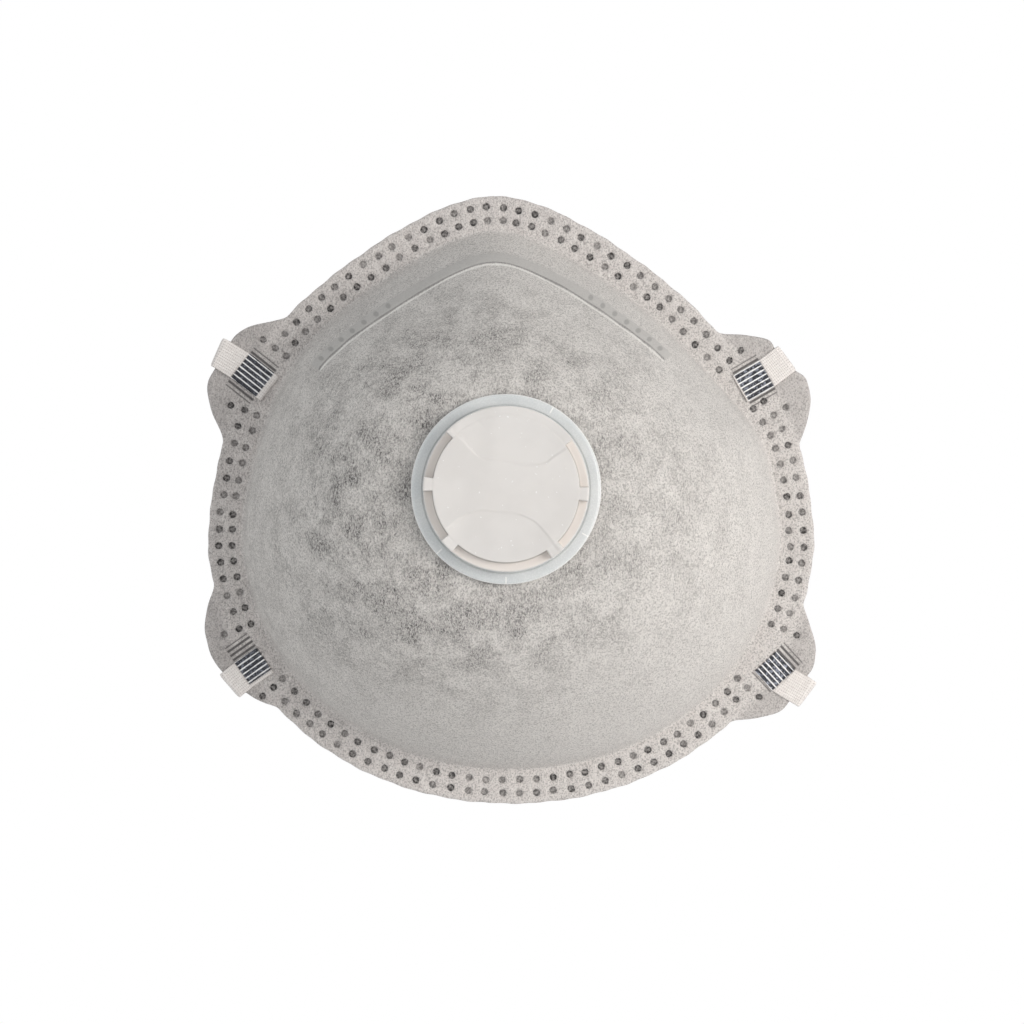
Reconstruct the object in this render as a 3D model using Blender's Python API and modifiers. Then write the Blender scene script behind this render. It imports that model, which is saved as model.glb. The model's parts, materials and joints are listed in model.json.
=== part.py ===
"""Cup respirator with an exhalation valve, standing as it is worn.

The cup is five nested layers that are welded together round a flat rim. A metal
nose clip lies under the outer cover and a foam strip lines the bridge of the
nose. The valve's base and retainer clamp the layers between them, a hinged flap
seals the base, and a vented cover snaps on the front. Two elastic headbands are
welded to the front of the rim's tabs, pass round their edges and hang behind.

Metres, +Z towards the nose, the cup's front towards -Y. The origin is the
middle of the face opening, in the plane of the rim at the nose and the chin.
"""

import math

import bmesh
import bpy
import numpy as np
from mathutils import Matrix, Vector

# Rim
RIM_HALF_WIDTH = 0.0657
RIM_HALF_HEIGHT = 0.0656
RIM_FLANGE = 0.0072  # from the outer edge to the foot of the cup's wall
RIM_SWEEP = 0.0030  # how far the cheeks are swept back from the nose and the chin
NOSE_LEAN = -0.0035  # the nose end is welded this far off centre
LEAN_FROM, LEAN_TO = 0.012, 0.040  # the heights over which it shifts
COLUMNS = 52  # divisions round the cup

# Half of the rim's outline without its tabs, in half widths and half heights: a few points from
# the nose down to the cheek, then a rounded quarter from the cheek to the chin.
NOSE_SIDE = [(0.00, 1.00), (0.28, 0.91), (0.62, 0.67), (0.84, 0.41), (0.95, 0.19)]
CHEEK_HEIGHT = -0.10  # where the rim is widest
CHIN_POWER = 2.05  # 2 gives an ellipse, and more is squarer
CHIN_STEPS = 9

# Tabs, each with the height of its middle, how far it stands out of the rim, the way its
# strap leaves over the edge, in degrees anticlockwise from +X, and how much of the strap
# lies free on the tab between the weld and the edge.
TABS = {
    "upper_right": {"side": 1, "z": 0.0250, "height": 0.0086, "strap": 36, "free": 0.0056},
    "upper_left": {"side": -1, "z": 0.0270, "height": 0.0078, "strap": 156, "free": 0.0062},
    "lower_left": {"side": -1, "z": -0.0325, "height": 0.0056, "strap": 221, "free": 0.0031},
    "lower_right": {"side": 1, "z": -0.0365, "height": 0.0076, "strap": -37, "free": 0.0055},
}
TAB_HALF_LENGTH = 0.0155

# Cup
CUP_DEPTH = 0.046  # from the rim to the flat round the valve, on the outside
FOOT_RADIUS = 0.0008  # softens the corner at the foot of the wall
VALVE_HEIGHT = 0.002  # the valve's axis above the origin
VALVE_LEAN = -0.0010  # and to the side of it
GAP = 0.0003  # between pieces that touch

# Layers, outside to inside: thickness, and the inset of the edge of those without tabs
LAYERS = [
    ("outer_cover", 0.00035, None, (0.63, 0.62, 0.61)),
    ("carbon_felt", 0.00040, 0.0012, (0.10, 0.10, 0.10)),
    ("filter_layer", 0.00030, 0.0012, (0.85, 0.86, 0.88)),
    ("support_shell", 0.00060, 0.0012, (0.82, 0.81, 0.78)),
    ("inner_lining", 0.00035, None, (0.88, 0.88, 0.86)),
]

# Nose clip and foam, measured inwards from the foot of the wall
CLIP_START = 0.0049
CLIP_WIDTH = 0.0021
CLIP_THICKNESS = 0.0007
CLIP_COLUMNS = 6  # either side of the middle
FOAM_START = 0.0015
FOAM_WIDTH = 0.0110
FOAM_THICKNESS = 0.0040
FOAM_COLUMNS = 5

# Layer surfaces are modelled in rows: distances in from the foot of the wall, then shares
# of the way from the foot to the flat round the valve.
FOOT_ROWS = [0.0, 0.0016]
BRIDGE_ROWS = [0.0046, 0.0090]
WALL_SHARES = [0.45, 0.70, 1.0]
POCKET_MARGIN = 0.0004  # the cover stays lifted this far past the clip
POCKET_SLOPE = 0.0009  # and comes down again over this

# Valve, from its axis outwards. Heights are off the cup's flat.
SPIGOT_RADIUS = 0.0150  # the tube through the layers
SPIGOT_WALL = 0.0011
SEAT_MARGIN = 0.0017  # the seat's ridge stands in from the tube's bore
SEAT_RADIUS = SPIGOT_RADIUS - SPIGOT_WALL - SEAT_MARGIN
SEAT_WIDTH = 0.0009
SEAT_HEIGHT = 0.0010
COLLAR_STEP = 0.0006  # the collar that the cover snaps over stands out from the tube
COLLAR_RADIUS = SPIGOT_RADIUS + COLLAR_STEP
COLLAR_WALL = 0.0010
COLLAR_HEIGHT = 0.0028
COVER_WALL = 0.0007
COVER_RADIUS = COLLAR_RADIUS + GAP + COVER_WALL
COVER_THICKNESS = 0.0011
COVER_EDGE = 0.0003
BASE_FLANGE = 0.0026  # the base shows this far round the cover
BASE_RADIUS = COVER_RADIUS + BASE_FLANGE
BASE_THICKNESS = 0.0013
BASE_CHAMFER = 0.0004
FLAT_MARGIN = 0.0012  # the cup's flat goes on this far past the base
SPOKE_WIDTH = 0.0014
SPOKE_STEPS = (0.0002, 0.0004)  # how far the cross's bar and post stop short of the base's front
FLAP_OVERLAP = 0.0006  # the flap reaches past the seat's ridge
FLAP_RADIUS = SEAT_RADIUS + FLAP_OVERLAP
FLAP_THICKNESS = 0.0004
FLAP_CUT = 0.0036  # the flap's disc is cut off this far in from its top, along the hinge
FLAP_ROOM = 0.0034  # what the flap can lift by before it meets the cover
RETAINER_INSET = 0.0012  # it is smaller than the base, as the cup is narrower inside
RETAINER_THICKNESS = 0.0012
VALVE_TURN = -3.6  # the cover is snapped on turned by this, in degrees
# Slots through the cover's edge, from and to, in degrees from the cover's right.
SLOTS = [(5, 40), (140, 175), (185, 222), (233, 307), (318, 355)]
SLOT_WIDTH = 0.0019
SLOT_DEPTH = 0.0024  # down from the cover's front, so they open to the side as well
ROUND = 56

# Straps
STRAP_WIDTH = 0.0066
STRAP_THICKNESS = 0.0008
WELD_LENGTH = 0.0068
STRAP_TUCK = 0.0012  # how far a strap's end runs in behind the tab
UPPER_STRAP_HEIGHT = 0.0315
LOWER_STRAP_HEIGHT = -0.0402
BAND_LEAD = 0.0045  # a band leaves its strap end straight
BAND_STEP = 0.004

# The free bands hang behind the rim. Points are x in half widths of the rim, depth behind the
# tab's back, and height, from the wearer's side at +X to the bottom of the loop.
UPPER_BAND = [
    (0.807, 0.0014, 0.0205), (0.755, 0.0026, 0.0105), (0.685, 0.0035, -0.0030),
    (0.594, 0.0039, -0.0165), (0.472, 0.0040, -0.0290), (0.327, 0.0040, -0.0385),
    (0.167, 0.0040, -0.0438), (0.000, 0.0040, -0.0455),
]
LOWER_BAND = [
    (0.761, 0.0015, -0.0384), (0.670, 0.0025, -0.0430), (0.548, 0.0031, -0.0495),
    (0.396, 0.0034, -0.0548), (0.205, 0.0034, -0.0582), (0.000, 0.0034, -0.0593),
]


def clear_scene():
    for obj in list(bpy.data.objects):
        bpy.data.objects.remove(obj, do_unlink=True)


def collection(name):
    found = bpy.data.collections.new(name)
    bpy.context.scene.collection.children.link(found)
    return found


def material(name, colour, roughness, metallic=0.0):
    made = bpy.data.materials.new(name)
    made.use_nodes = True
    shader = made.node_tree.nodes["Principled BSDF"]
    shader.inputs["Base Color"].default_value = (*colour, 1.0)
    shader.inputs["Roughness"].default_value = roughness
    shader.inputs["Metallic"].default_value = metallic
    return made


def add_object(name, mesh, group, surface=None):
    obj = bpy.data.objects.new(name, mesh)
    group.objects.link(obj)
    if surface:
        mesh.materials.append(surface)
    return obj


def as_cutter(obj):
    obj.hide_render = True
    obj.display_type = "WIRE"
    return obj


def boolean(obj, other, operation):
    modifier = obj.modifiers.new(operation.title() + "_" + other.name, "BOOLEAN")
    modifier.operation = operation
    modifier.object = other
    modifier.solver = "EXACT"


# Outline and cup surface


def smoothstep(value):
    share = np.clip(value, 0.0, 1.0)
    return share * share * (3 - 2 * share)


def catmull_rom(points, steps):
    """Points on a closed curve that passes through the given ones."""
    p = np.asarray(points, float)
    t = np.linspace(0, 1, steps, endpoint=False)[None, :, None]
    a, b, c, d = (np.roll(p, shift, axis=0)[:, None, :] for shift in (1, 0, -1, -2))
    curve = b + 0.5 * t * (c - a + t * (2 * a - 5 * b + 4 * c - d + t * (3 * (b - c) + d - a)))
    return curve.reshape(-1, p.shape[1])


def along(line):
    """The distance from the first point to each of a closed line's points, and its whole length."""
    steps = np.linalg.norm(np.roll(line, -1, axis=0) - line, axis=1)
    return np.concatenate([[0], np.cumsum(steps)])


def at_arc(line, arcs):
    total = along(line)
    closed = np.vstack([line, line[:1]])
    wrapped = np.mod(arcs, total[-1])
    return np.stack([np.interp(wrapped, total, closed[:, k]) for k in range(2)], axis=1)


def lean(points):
    """Shifts the nose end to one side."""
    shift = NOSE_LEAN * smoothstep((points[:, 1] - LEAN_FROM) / (LEAN_TO - LEAN_FROM))
    return points + np.stack([shift, np.zeros_like(shift)], axis=1)


def rim_half():
    """Points on half of the rim's outline. The chin's quarter is a superellipse."""
    turn = np.linspace(0, math.pi / 2, CHIN_STEPS)
    x = np.cos(turn) ** (2 / CHIN_POWER)
    z = CHEEK_HEIGHT - (1 + CHEEK_HEIGHT) * np.sin(turn) ** (2 / CHIN_POWER)
    return np.vstack([NOSE_SIDE, np.stack([x, z], axis=1)]) * (RIM_HALF_WIDTH, RIM_HALF_HEIGHT)


def rim_line():
    """The rim's outline without its tabs, clockwise from the nose as seen from the front."""
    half = rim_half()
    mirrored = half[-2:0:-1] * (-1, 1)
    return lean(catmull_rom(np.vstack([half, mirrored]), 16))


def outward(line, arcs):
    """Unit normals out of the rim."""
    ahead = at_arc(line, arcs + 0.002) - at_arc(line, arcs - 0.002)
    normal = np.stack([-ahead[:, 1], ahead[:, 0]], axis=1)
    return normal / np.linalg.norm(normal, axis=1)[:, None]


def arc_at_height(line, side, z):
    """How far along the line its right or left side crosses a height."""
    total = along(line)[:-1]
    there = np.flatnonzero(side * line[:, 0] > 0)
    return total[there[np.argmin(abs(line[there, 1] - z))]]


def tab_rise(line, arcs):
    """How far the tabs push the outline outwards."""
    whole = along(line)[-1]
    rise = np.zeros(len(arcs))
    for tab in TABS.values():
        middle = arc_at_height(line, tab["side"], tab["z"])
        away = np.abs(np.mod(arcs - middle + whole / 2, whole) - whole / 2) / TAB_HALF_LENGTH
        rise += tab["height"] * (1 - np.clip(away, 0, 1) ** 2.6) ** 1.6
    return rise


def edge_points(arcs, tabs=True, inset=0.0):
    line = rim_line()
    rise = tab_rise(line, arcs) if tabs else 0.0
    return at_arc(line, arcs) + outward(line, arcs) * (rise - inset)[:, None]


def column_arcs():
    return np.arange(COLUMNS) / COLUMNS * along(rim_line())[-1]


def rim_depth(points):
    """The rim's Y at points of the outline: it sweeps back towards the cheeks."""
    return RIM_SWEEP * (points[..., 0] / RIM_HALF_WIDTH) ** 2


def valve_centre():
    return np.array([VALVE_LEAN, VALVE_HEIGHT])


def cup_rise(share, nose, chin):
    """How far the wall has risen at a share of the way from its foot to the valve."""
    side = (1 - (1 - share) ** 1.9) ** 0.72
    bridge = (1 - (1 - share) ** 1.5) ** 1.05
    jaw = (1 - (1 - share) ** 1.8) ** 0.82
    return side + nose * (bridge - side) + chin * (jaw - side)


def cup_rows(rows, inset, tabs):
    """Rows of points of the outer surface, from the rim's edge to the valve's hole.

    A row is "edge", "hole", a distance in from the foot of the wall, or ("share", s).
    """
    arcs = column_arcs()
    foot = edge_points(arcs, tabs=False, inset=np.full(COLUMNS, RIM_FLANGE))
    flat = BASE_RADIUS + FLAT_MARGIN
    away = foot - valve_centre()
    reach = np.linalg.norm(away, axis=1)
    inner = valve_centre() + away / reach[:, None] * flat
    length = reach - flat
    whole = along(rim_line())[-1]
    from_nose = np.minimum(arcs, whole - arcs)
    nose = np.exp(-((from_nose / 0.052) ** 2))
    chin = np.exp(-(((whole / 2 - from_nose) / 0.060) ** 2))
    grid = []
    for row in rows:
        if row == "edge":
            flat_points = edge_points(arcs, tabs=tabs, inset=np.full(COLUMNS, inset))
            y = rim_depth(flat_points)
        elif row == "hole":
            flat_points = valve_centre() + away / reach[:, None] * (SPIGOT_RADIUS + GAP)
            y = np.full(COLUMNS, -CUP_DEPTH)
        else:
            share = np.full(COLUMNS, row[1]) if isinstance(row, tuple) else row / length
            inwards = share * length
            flat_points = foot + (inner - foot) * share[:, None]
            soft = inwards**2 / (inwards**2 + FOOT_RADIUS**2)
            rise = cup_rise(share, nose, chin) * soft
            y = rim_depth(foot) * (1 - rise) - CUP_DEPTH * rise
        grid.append(np.stack([flat_points[:, 0], y, flat_points[:, 1]], axis=1))
    return np.array(grid)


def unit(vectors):
    return vectors / np.maximum(np.linalg.norm(vectors, axis=-1), 1e-12)[..., None]


def grid_normals(grid):
    """Unit normals of a grid that closes round its columns, pointing out of the cup's front."""
    ahead = unit(np.roll(grid, -1, axis=1) - grid)
    across = ahead + np.roll(ahead, 1, axis=1)
    step = unit(np.diff(grid, axis=0))
    inwards = np.concatenate([step[:1], step]) + np.concatenate([step, step[-1:]])
    return unit(np.cross(inwards, across))


def grid_mesh(name, grid, wrap=True):
    rows, columns = grid.shape[:2]
    mesh = bpy.data.meshes.new(name)
    index = np.arange(rows * columns).reshape(rows, columns)
    right = np.roll(index, -1, axis=1) if wrap else index[:, 1:]
    left = index if wrap else index[:, :-1]
    quads = np.stack([left[:-1], left[1:], right[1:], right[:-1]], axis=-1).reshape(-1, 4)
    mesh.from_pydata(grid.reshape(-1, 3).tolist(), [], quads.tolist())
    mesh.update()
    return mesh


def shell(name, grid, thickness, group, surface, wrap=True):
    """A sheet whose outer face is the grid, and which is that thick inwards."""
    obj = add_object(name, grid_mesh(name, grid, wrap), group, surface)
    solid = obj.modifiers.new("Thickness", "SOLIDIFY")
    solid.thickness = thickness
    solid.offset = -1
    return obj


# Layers, clip and foam


def wall_rows(lifted=False):
    """Rows from the rim's edge to the valve's hole, with those of the clip's pocket or without."""
    low, high = CLIP_START - POCKET_MARGIN, CLIP_START + CLIP_WIDTH + POCKET_MARGIN
    pocket = [low - POCKET_SLOPE, low, high, high + POCKET_SLOPE]
    shares = [("share", share) for share in WALL_SHARES]
    middle = pocket + [("share", 0.33)] if lifted else BRIDGE_ROWS
    return ["edge", *FOOT_ROWS, *middle, *shares, "hole"]


def layer_depth(name):
    """How far under the outer surface a layer's own outer face lies."""
    depth = 0.0
    for layer, thickness, _, _ in LAYERS:
        if layer == name:
            return depth
        depth += thickness + GAP
    return depth


def sunk(rows, depth, inset=0.0, tabs=True):
    grid = cup_rows(rows, inset, tabs)
    return grid - grid_normals(grid) * depth


def near_nose(columns):
    """Column numbers from one side of the nose to the other."""
    return np.arange(-columns, columns + 1) % COLUMNS


def raise_clip_pocket(grid):
    """Lifts the outer cover over the nose clip."""
    normals = grid_normals(grid)
    first = 1 + len(FOOT_ROWS) + 1
    for row in (first, first + 1):
        for column in near_nose(CLIP_COLUMNS):
            grid[row, column] += normals[row, column] * (CLIP_THICKNESS + GAP)
    return grid


def build_layers(group):
    for name, thickness, inset, colour in LAYERS:
        outermost = name == LAYERS[0][0]
        grid = sunk(wall_rows(outermost), layer_depth(name), inset or 0.0, inset is None)
        if outermost:
            grid = raise_clip_pocket(grid)
        shell(name, grid, thickness, group, material(name, colour, 0.95))


def build_clip(group):
    """A flat strip under the outer cover, bent over the bridge of the nose."""
    rows = [CLIP_START, CLIP_START + CLIP_WIDTH]
    above = layer_depth(LAYERS[1][0]) - GAP - CLIP_THICKNESS
    grid = sunk(rows, above)[:, near_nose(CLIP_COLUMNS)]
    metal = material("clip_metal", (0.75, 0.76, 0.78), 0.35, 1.0)
    shell("nose_clip", grid, CLIP_THICKNESS, group, metal, wrap=False)


def build_foam(group):
    """A soft strip inside the cup, along the bridge of the nose."""
    rows = [FOAM_START, *BRIDGE_ROWS, FOAM_START + FOAM_WIDTH]
    name, thickness, _, _ = LAYERS[-1]
    grid = sunk(rows, layer_depth(name) + thickness + GAP)[:, near_nose(FOAM_COLUMNS)]
    foam = material("foam", (0.30, 0.31, 0.33), 1.0)
    shell("nose_foam", grid, FOAM_THICKNESS, group, foam, wrap=False)


# Valve


def turned(name, profile, group, surface=None):
    """A ring turned about the valve's axis: its profile is (radius, height off the cup's flat),
    listed from the front down the outer side and back up the inner side."""
    mesh = bpy.data.meshes.new(name)
    bottom_up = [Vector((radius, 0, height)) for radius, height in profile]
    edges = [(i, (i + 1) % len(profile)) for i in range(len(profile))]
    mesh.from_pydata(bottom_up, edges, [])
    mesh.update()
    obj = add_object(name, mesh, group, surface)
    screw = obj.modifiers.new("Turn", "SCREW")
    screw.axis = "Z"
    screw.steps = ROUND
    screw.render_steps = ROUND
    screw.use_merge_vertices = True
    screw.merge_threshold = 0.0001
    obj.matrix_world = valve_frame()
    return obj


def valve_frame(turn=0.0):
    """Puts a piece modelled with its axis along +Z on the valve: its +Z becomes -Y."""
    centre = valve_centre()
    place = Matrix.Translation((centre[0], -CUP_DEPTH, centre[1]))
    return place @ Matrix.Rotation(math.radians(90), 4, "X") @ Matrix.Rotation(math.radians(turn), 4, "Z")


def block(name, size, middle, group, turn=0.0):
    mesh = bpy.data.meshes.new(name)
    bm = bmesh.new()
    bmesh.ops.create_cube(bm, size=1.0, matrix=Matrix.Translation(middle) @ Matrix.Diagonal((*size, 1.0)))
    bm.to_mesh(mesh)
    bm.free()
    obj = add_object(name, mesh, group)
    obj.matrix_world = valve_frame(turn)
    return obj


def stack_depth():
    """The thickness of all the layers with their gaps."""
    return sum(thickness for _, thickness, _, _ in LAYERS) + GAP * (len(LAYERS) - 1)


def spigot_end():
    """The height of the spigot's inner end, past the retainer."""
    return -(stack_depth() + GAP + RETAINER_THICKNESS)


def build_base(group, cutters):
    """Flange, collar and spigot in one, with a ridge for the flap and a cross behind it."""
    top = GAP + BASE_THICKNESS
    bore = SPIGOT_RADIUS - SPIGOT_WALL
    profile = [
        (COLLAR_RADIUS - COLLAR_WALL, top + COLLAR_HEIGHT), (COLLAR_RADIUS, top + COLLAR_HEIGHT),
        (COLLAR_RADIUS, top), (BASE_RADIUS - BASE_CHAMFER, top), (BASE_RADIUS, top - BASE_CHAMFER),
        (BASE_RADIUS, GAP), (SPIGOT_RADIUS, GAP), (SPIGOT_RADIUS, spigot_end()),
        (bore, spigot_end()), (bore, GAP), (SEAT_RADIUS - SEAT_WIDTH, GAP),
        (SEAT_RADIUS - SEAT_WIDTH, top + SEAT_HEIGHT), (SEAT_RADIUS, top + SEAT_HEIGHT),
        (SEAT_RADIUS, top), (COLLAR_RADIUS - COLLAR_WALL, top),
    ]
    plastic = material("base_plastic", (0.72, 0.75, 0.78), 0.35)
    base = turned("valve_base", profile, group, plastic)
    reach = 2 * (SEAT_RADIUS - SEAT_WIDTH / 2)
    shapes = {"cross_bar": (reach, SPOKE_WIDTH), "cross_post": (SPOKE_WIDTH, reach)}
    for (name, (width, height)), step in zip(shapes.items(), SPOKE_STEPS):
        size = (width, height, BASE_THICKNESS - step)
        spoke = as_cutter(block(name, size, (0, 0, GAP + BASE_THICKNESS / 2), cutters))
        boolean(base, spoke, "UNION")


def build_retainer(group):
    inner = SPIGOT_RADIUS + GAP
    front = -(stack_depth() + GAP)
    back = front - RETAINER_THICKNESS
    outer = BASE_RADIUS - RETAINER_INSET
    profile = [
        (inner, front), (outer, front), (outer, back + BASE_CHAMFER),
        (outer - BASE_CHAMFER, back), (inner, back),
    ]
    turned("valve_retainer", profile, group, material("retainer_plastic", (0.86, 0.86, 0.84), 0.4))


def flap_height():
    """The height of the flap's sealing face, just off the seat's ridge."""
    return GAP + BASE_THICKNESS + SEAT_HEIGHT + GAP


def build_flap(group):
    """A disc that is cut off straight along its hinge line."""
    hinge = FLAP_RADIUS - FLAP_CUT
    low = math.asin(hinge / FLAP_RADIUS)
    turns = np.linspace(math.pi - low, 2 * math.pi + low, 33)
    curve = bpy.data.curves.new("valve_flap", "CURVE")
    curve.dimensions = "2D"
    curve.fill_mode = "BOTH"
    curve.extrude = FLAP_THICKNESS / 2
    spline = curve.splines.new("POLY")
    spline.points.add(len(turns) - 1)
    for point, turn in zip(spline.points, turns):
        point.co = (FLAP_RADIUS * math.cos(turn), FLAP_RADIUS * math.sin(turn) - hinge, 0, 1)
    spline.use_cyclic_u = True
    guide = bpy.data.objects.new("flap_guide", curve)
    bpy.context.scene.collection.objects.link(guide)
    bpy.context.view_layer.update()
    mesh = bpy.data.meshes.new_from_object(guide.evaluated_get(bpy.context.evaluated_depsgraph_get()))
    bpy.data.objects.remove(guide)
    bm = bmesh.new()
    bm.from_mesh(mesh)
    bmesh.ops.remove_doubles(bm, verts=bm.verts, dist=0.00001)
    bmesh.ops.recalc_face_normals(bm, faces=bm.faces)
    bm.to_mesh(mesh)
    bm.free()
    obj = add_object("valve_flap", mesh, group, material("silicone", (0.90, 0.90, 0.88), 0.5))
    middle = flap_height() + FLAP_THICKNESS / 2
    obj.matrix_world = valve_frame() @ Matrix.Translation((0, hinge, middle))


def build_cover(group, cutters):
    """A vented cap: a plate, a wall that snaps over the collar, and slots through its edge."""
    plate = flap_height() + FLAP_THICKNESS + FLAP_ROOM
    front = plate + COVER_THICKNESS
    foot = 2 * GAP + BASE_THICKNESS
    inside = COVER_RADIUS - COVER_WALL
    profile = [
        (0.0, front), (COVER_RADIUS - COVER_EDGE, front), (COVER_RADIUS, front - COVER_EDGE),
        (COVER_RADIUS, foot), (inside, foot), (inside, plate), (0.0, plate),
    ]
    cover = turned("valve_cover", profile, group, material("cover_plastic", (0.90, 0.89, 0.87), 0.45))
    cover.matrix_world = valve_frame(VALVE_TURN)
    radii = (COVER_RADIUS - SLOT_WIDTH, COVER_RADIUS + SLOT_WIDTH)
    heights = (front - SLOT_DEPTH, front + SLOT_DEPTH)
    for number, (start, stop) in enumerate(SLOTS, 1):
        slot = arc_block(f"slot_{number}", radii, start, stop, heights, cutters)
        boolean(cover, slot, "DIFFERENCE")


def arc_block(name, radii, start, stop, heights, group):
    """A curved cutter from one angle to another, between two radii and two heights."""
    count = max(3, round((stop - start) / 6))
    turns = np.radians(np.linspace(start, stop, count + 1))
    ring = np.array([(r * np.cos(turns), r * np.sin(turns)) for r in radii])
    bm = bmesh.new()
    levels = [[[bm.verts.new((x, y, z)) for x, y in zip(*side)] for side in ring] for z in heights]
    low, high = [level[0] + level[1][::-1] for level in levels]
    for k in range(len(low)):
        bm.faces.new((low[k - 1], high[k - 1], high[k], low[k]))
    for inner, outer in levels:
        for k in range(count):
            bm.faces.new((inner[k], outer[k], outer[k + 1], inner[k + 1]))
    bmesh.ops.recalc_face_normals(bm, faces=bm.faces)
    mesh = bpy.data.meshes.new(name)
    bm.to_mesh(mesh)
    bm.free()
    obj = as_cutter(add_object(name, mesh, group))
    obj.matrix_world = valve_frame(VALVE_TURN)
    return obj


# Straps


def ribbon(name, points, across, group, surface, thickness=STRAP_THICKNESS):
    """A flat strap along points: across gives the way that its width lies at each of them."""
    points, across = np.asarray(points, float), np.asarray(across, float)
    ahead = np.gradient(points, axis=0)
    ahead /= np.linalg.norm(ahead, axis=1)[:, None]
    across = across - (across * ahead).sum(1)[:, None] * ahead
    across /= np.linalg.norm(across, axis=1)[:, None]
    up = np.cross(ahead, across)
    corners = [(1, 1), (-1, 1), (-1, -1), (1, -1)]
    rings = [points + across * a * STRAP_WIDTH / 2 + up * b * thickness / 2 for a, b in corners]
    grid = np.stack(rings, axis=1)
    bm = bmesh.new()
    verts = [[bm.verts.new(corner) for corner in ring] for ring in grid]
    for first, second in zip(verts, verts[1:]):
        for k in range(4):
            bm.faces.new((first[k], first[(k + 1) % 4], second[(k + 1) % 4], second[k]))
    bm.faces.new(verts[0][::-1])
    bm.faces.new(verts[-1])
    bmesh.ops.recalc_face_normals(bm, faces=bm.faces)
    mesh = bpy.data.meshes.new(name)
    bm.to_mesh(mesh)
    bm.free()
    return add_object(name, mesh, group, surface)


def strap_height(tab_name):
    return UPPER_STRAP_HEIGHT if tab_name.startswith("upper") else LOWER_STRAP_HEIGHT


def strap_edge(tab_name):
    """Where a strap crosses its tab's edge: the outline's point at the strap's height."""
    side = TABS[tab_name]["side"]
    line = rim_line()
    arcs = np.linspace(0, along(line)[-1], 2000, endpoint=False)
    outline = edge_points(arcs, inset=np.zeros(len(arcs)))
    there = outline[outline[:, 0] * side > 0]
    return there[np.argmin(abs(there[:, 1] - strap_height(tab_name)))]


def strap_way(tab_name):
    turn = math.radians(TABS[tab_name]["strap"])
    return np.array([math.cos(turn), math.sin(turn)])


def front_offset():
    """From the cup's outer surface to the middle of a strap that lies on it."""
    return GAP + STRAP_THICKNESS / 2


def back_offset():
    """From the same surface back to the middle of a strap behind the rim."""
    return stack_depth() + GAP + STRAP_THICKNESS / 2


def strap_end_path(tab_name):
    """From the weld, out over the tab's edge and in again behind it."""
    edge, way = strap_edge(tab_name), strap_way(tab_name)
    radius = (front_offset() + back_offset()) / 2
    past = 0.0006
    points = []
    for inwards in np.linspace(TABS[tab_name]["free"] + WELD_LENGTH, -past, 8):
        spot = edge - way * inwards
        points.append((*spot, rim_depth(spot) - front_offset()))
    middle_depth = rim_depth(edge) + (back_offset() - front_offset()) / 2
    for turn in np.radians([30, 60, 90, 120, 150]):
        spot = edge + way * (past + radius * math.sin(turn))
        points.append((*spot, middle_depth - radius * math.cos(turn)))
    for inwards in (-past, STRAP_TUCK / 2, STRAP_TUCK):
        spot = edge - way * inwards
        points.append((*spot, rim_depth(edge) + back_offset()))
    return np.array(points)[:, [0, 2, 1]]


def build_strap_ends(group, elastic):
    for tab_name in TABS:
        way = strap_way(tab_name)
        path = strap_end_path(tab_name)
        across = np.tile((-way[1], 0, way[0]), (len(path), 1))
        ribbon("strap_end_" + tab_name, path, across, group, elastic)


def smooth_route(points, step):
    """Evenly spaced points on a smooth open curve through the given ones."""
    p = np.asarray(points, float)
    padded = np.vstack([2 * p[0] - p[1], p, 2 * p[-1] - p[-2]])
    t = np.linspace(0, 1, 12, endpoint=False)[None, :, None]
    a, b, c, d = (padded[k : len(padded) - 3 + k][:, None, :] for k in range(4))
    curve = b + 0.5 * t * (c - a + t * (2 * a - 5 * b + 4 * c - d + t * (3 * (b - c) + d - a)))
    line = np.vstack([curve.reshape(-1, 3), p[-1:]])
    total = np.concatenate([[0], np.cumsum(np.linalg.norm(np.diff(line, axis=0), axis=1))])
    places = np.linspace(0, total[-1], round(total[-1] / step) + 1)
    return np.stack([np.interp(places, total, line[:, k]) for k in range(3)], axis=1)


def band_route(half, right_tab, left_tab):
    """The whole band: from its right strap end, down through the loop and up to its left one."""
    starts = [strap_end_path(tab)[-1] for tab in (right_tab, left_tab)]
    inward = [np.array([-strap_way(tab)[0], 0, -strap_way(tab)[1]]) for tab in (right_tab, left_tab)]
    first, last = (start + way * GAP for start, way in zip(starts, inward))
    leads = [first + inward[0] * BAND_LEAD, last + inward[1] * BAND_LEAD]
    right = [(x * RIM_HALF_WIDTH, first[1] + back, z) for x, back, z in half]
    left = [(-x * RIM_HALF_WIDTH, last[1] + back, z) for x, back, z in half[-2::-1]]
    return smooth_route([first, leads[0], *right, *left, leads[1], last], BAND_STEP)


def build_bands(group, elastic):
    """A band lies flat behind its tab, then twists so that its width points to the wearer."""
    for name, half in (("upper", UPPER_BAND), ("lower", LOWER_BAND)):
        right_tab, left_tab = name + "_right", name + "_left"
        route = band_route(half, right_tab, left_tab)
        share = np.linspace(0, 1, len(route))
        twist = smoothstep(share / 0.2) * smoothstep((1 - share) / 0.2) * math.pi / 2
        ahead = np.gradient(route, axis=0)
        ahead /= np.linalg.norm(ahead, axis=1)[:, None]
        flat = np.cross(ahead, (0, 1, 0))
        across = flat * np.cos(twist)[:, None] + np.array([0, 1, 0]) * np.sin(twist)[:, None]
        ribbon("headband_" + name, route, across, group, elastic)


def main():
    clear_scene()
    parts = collection("dust_mask")
    cutters = collection("cutters")
    build_layers(parts)
    build_clip(parts)
    build_foam(parts)
    build_base(parts, cutters)
    build_retainer(parts)
    build_flap(parts)
    build_cover(parts, cutters)
    elastic = material("elastic", (0.88, 0.85, 0.81), 0.9)
    build_strap_ends(parts, elastic)
    build_bands(parts, elastic)


main()
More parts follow.
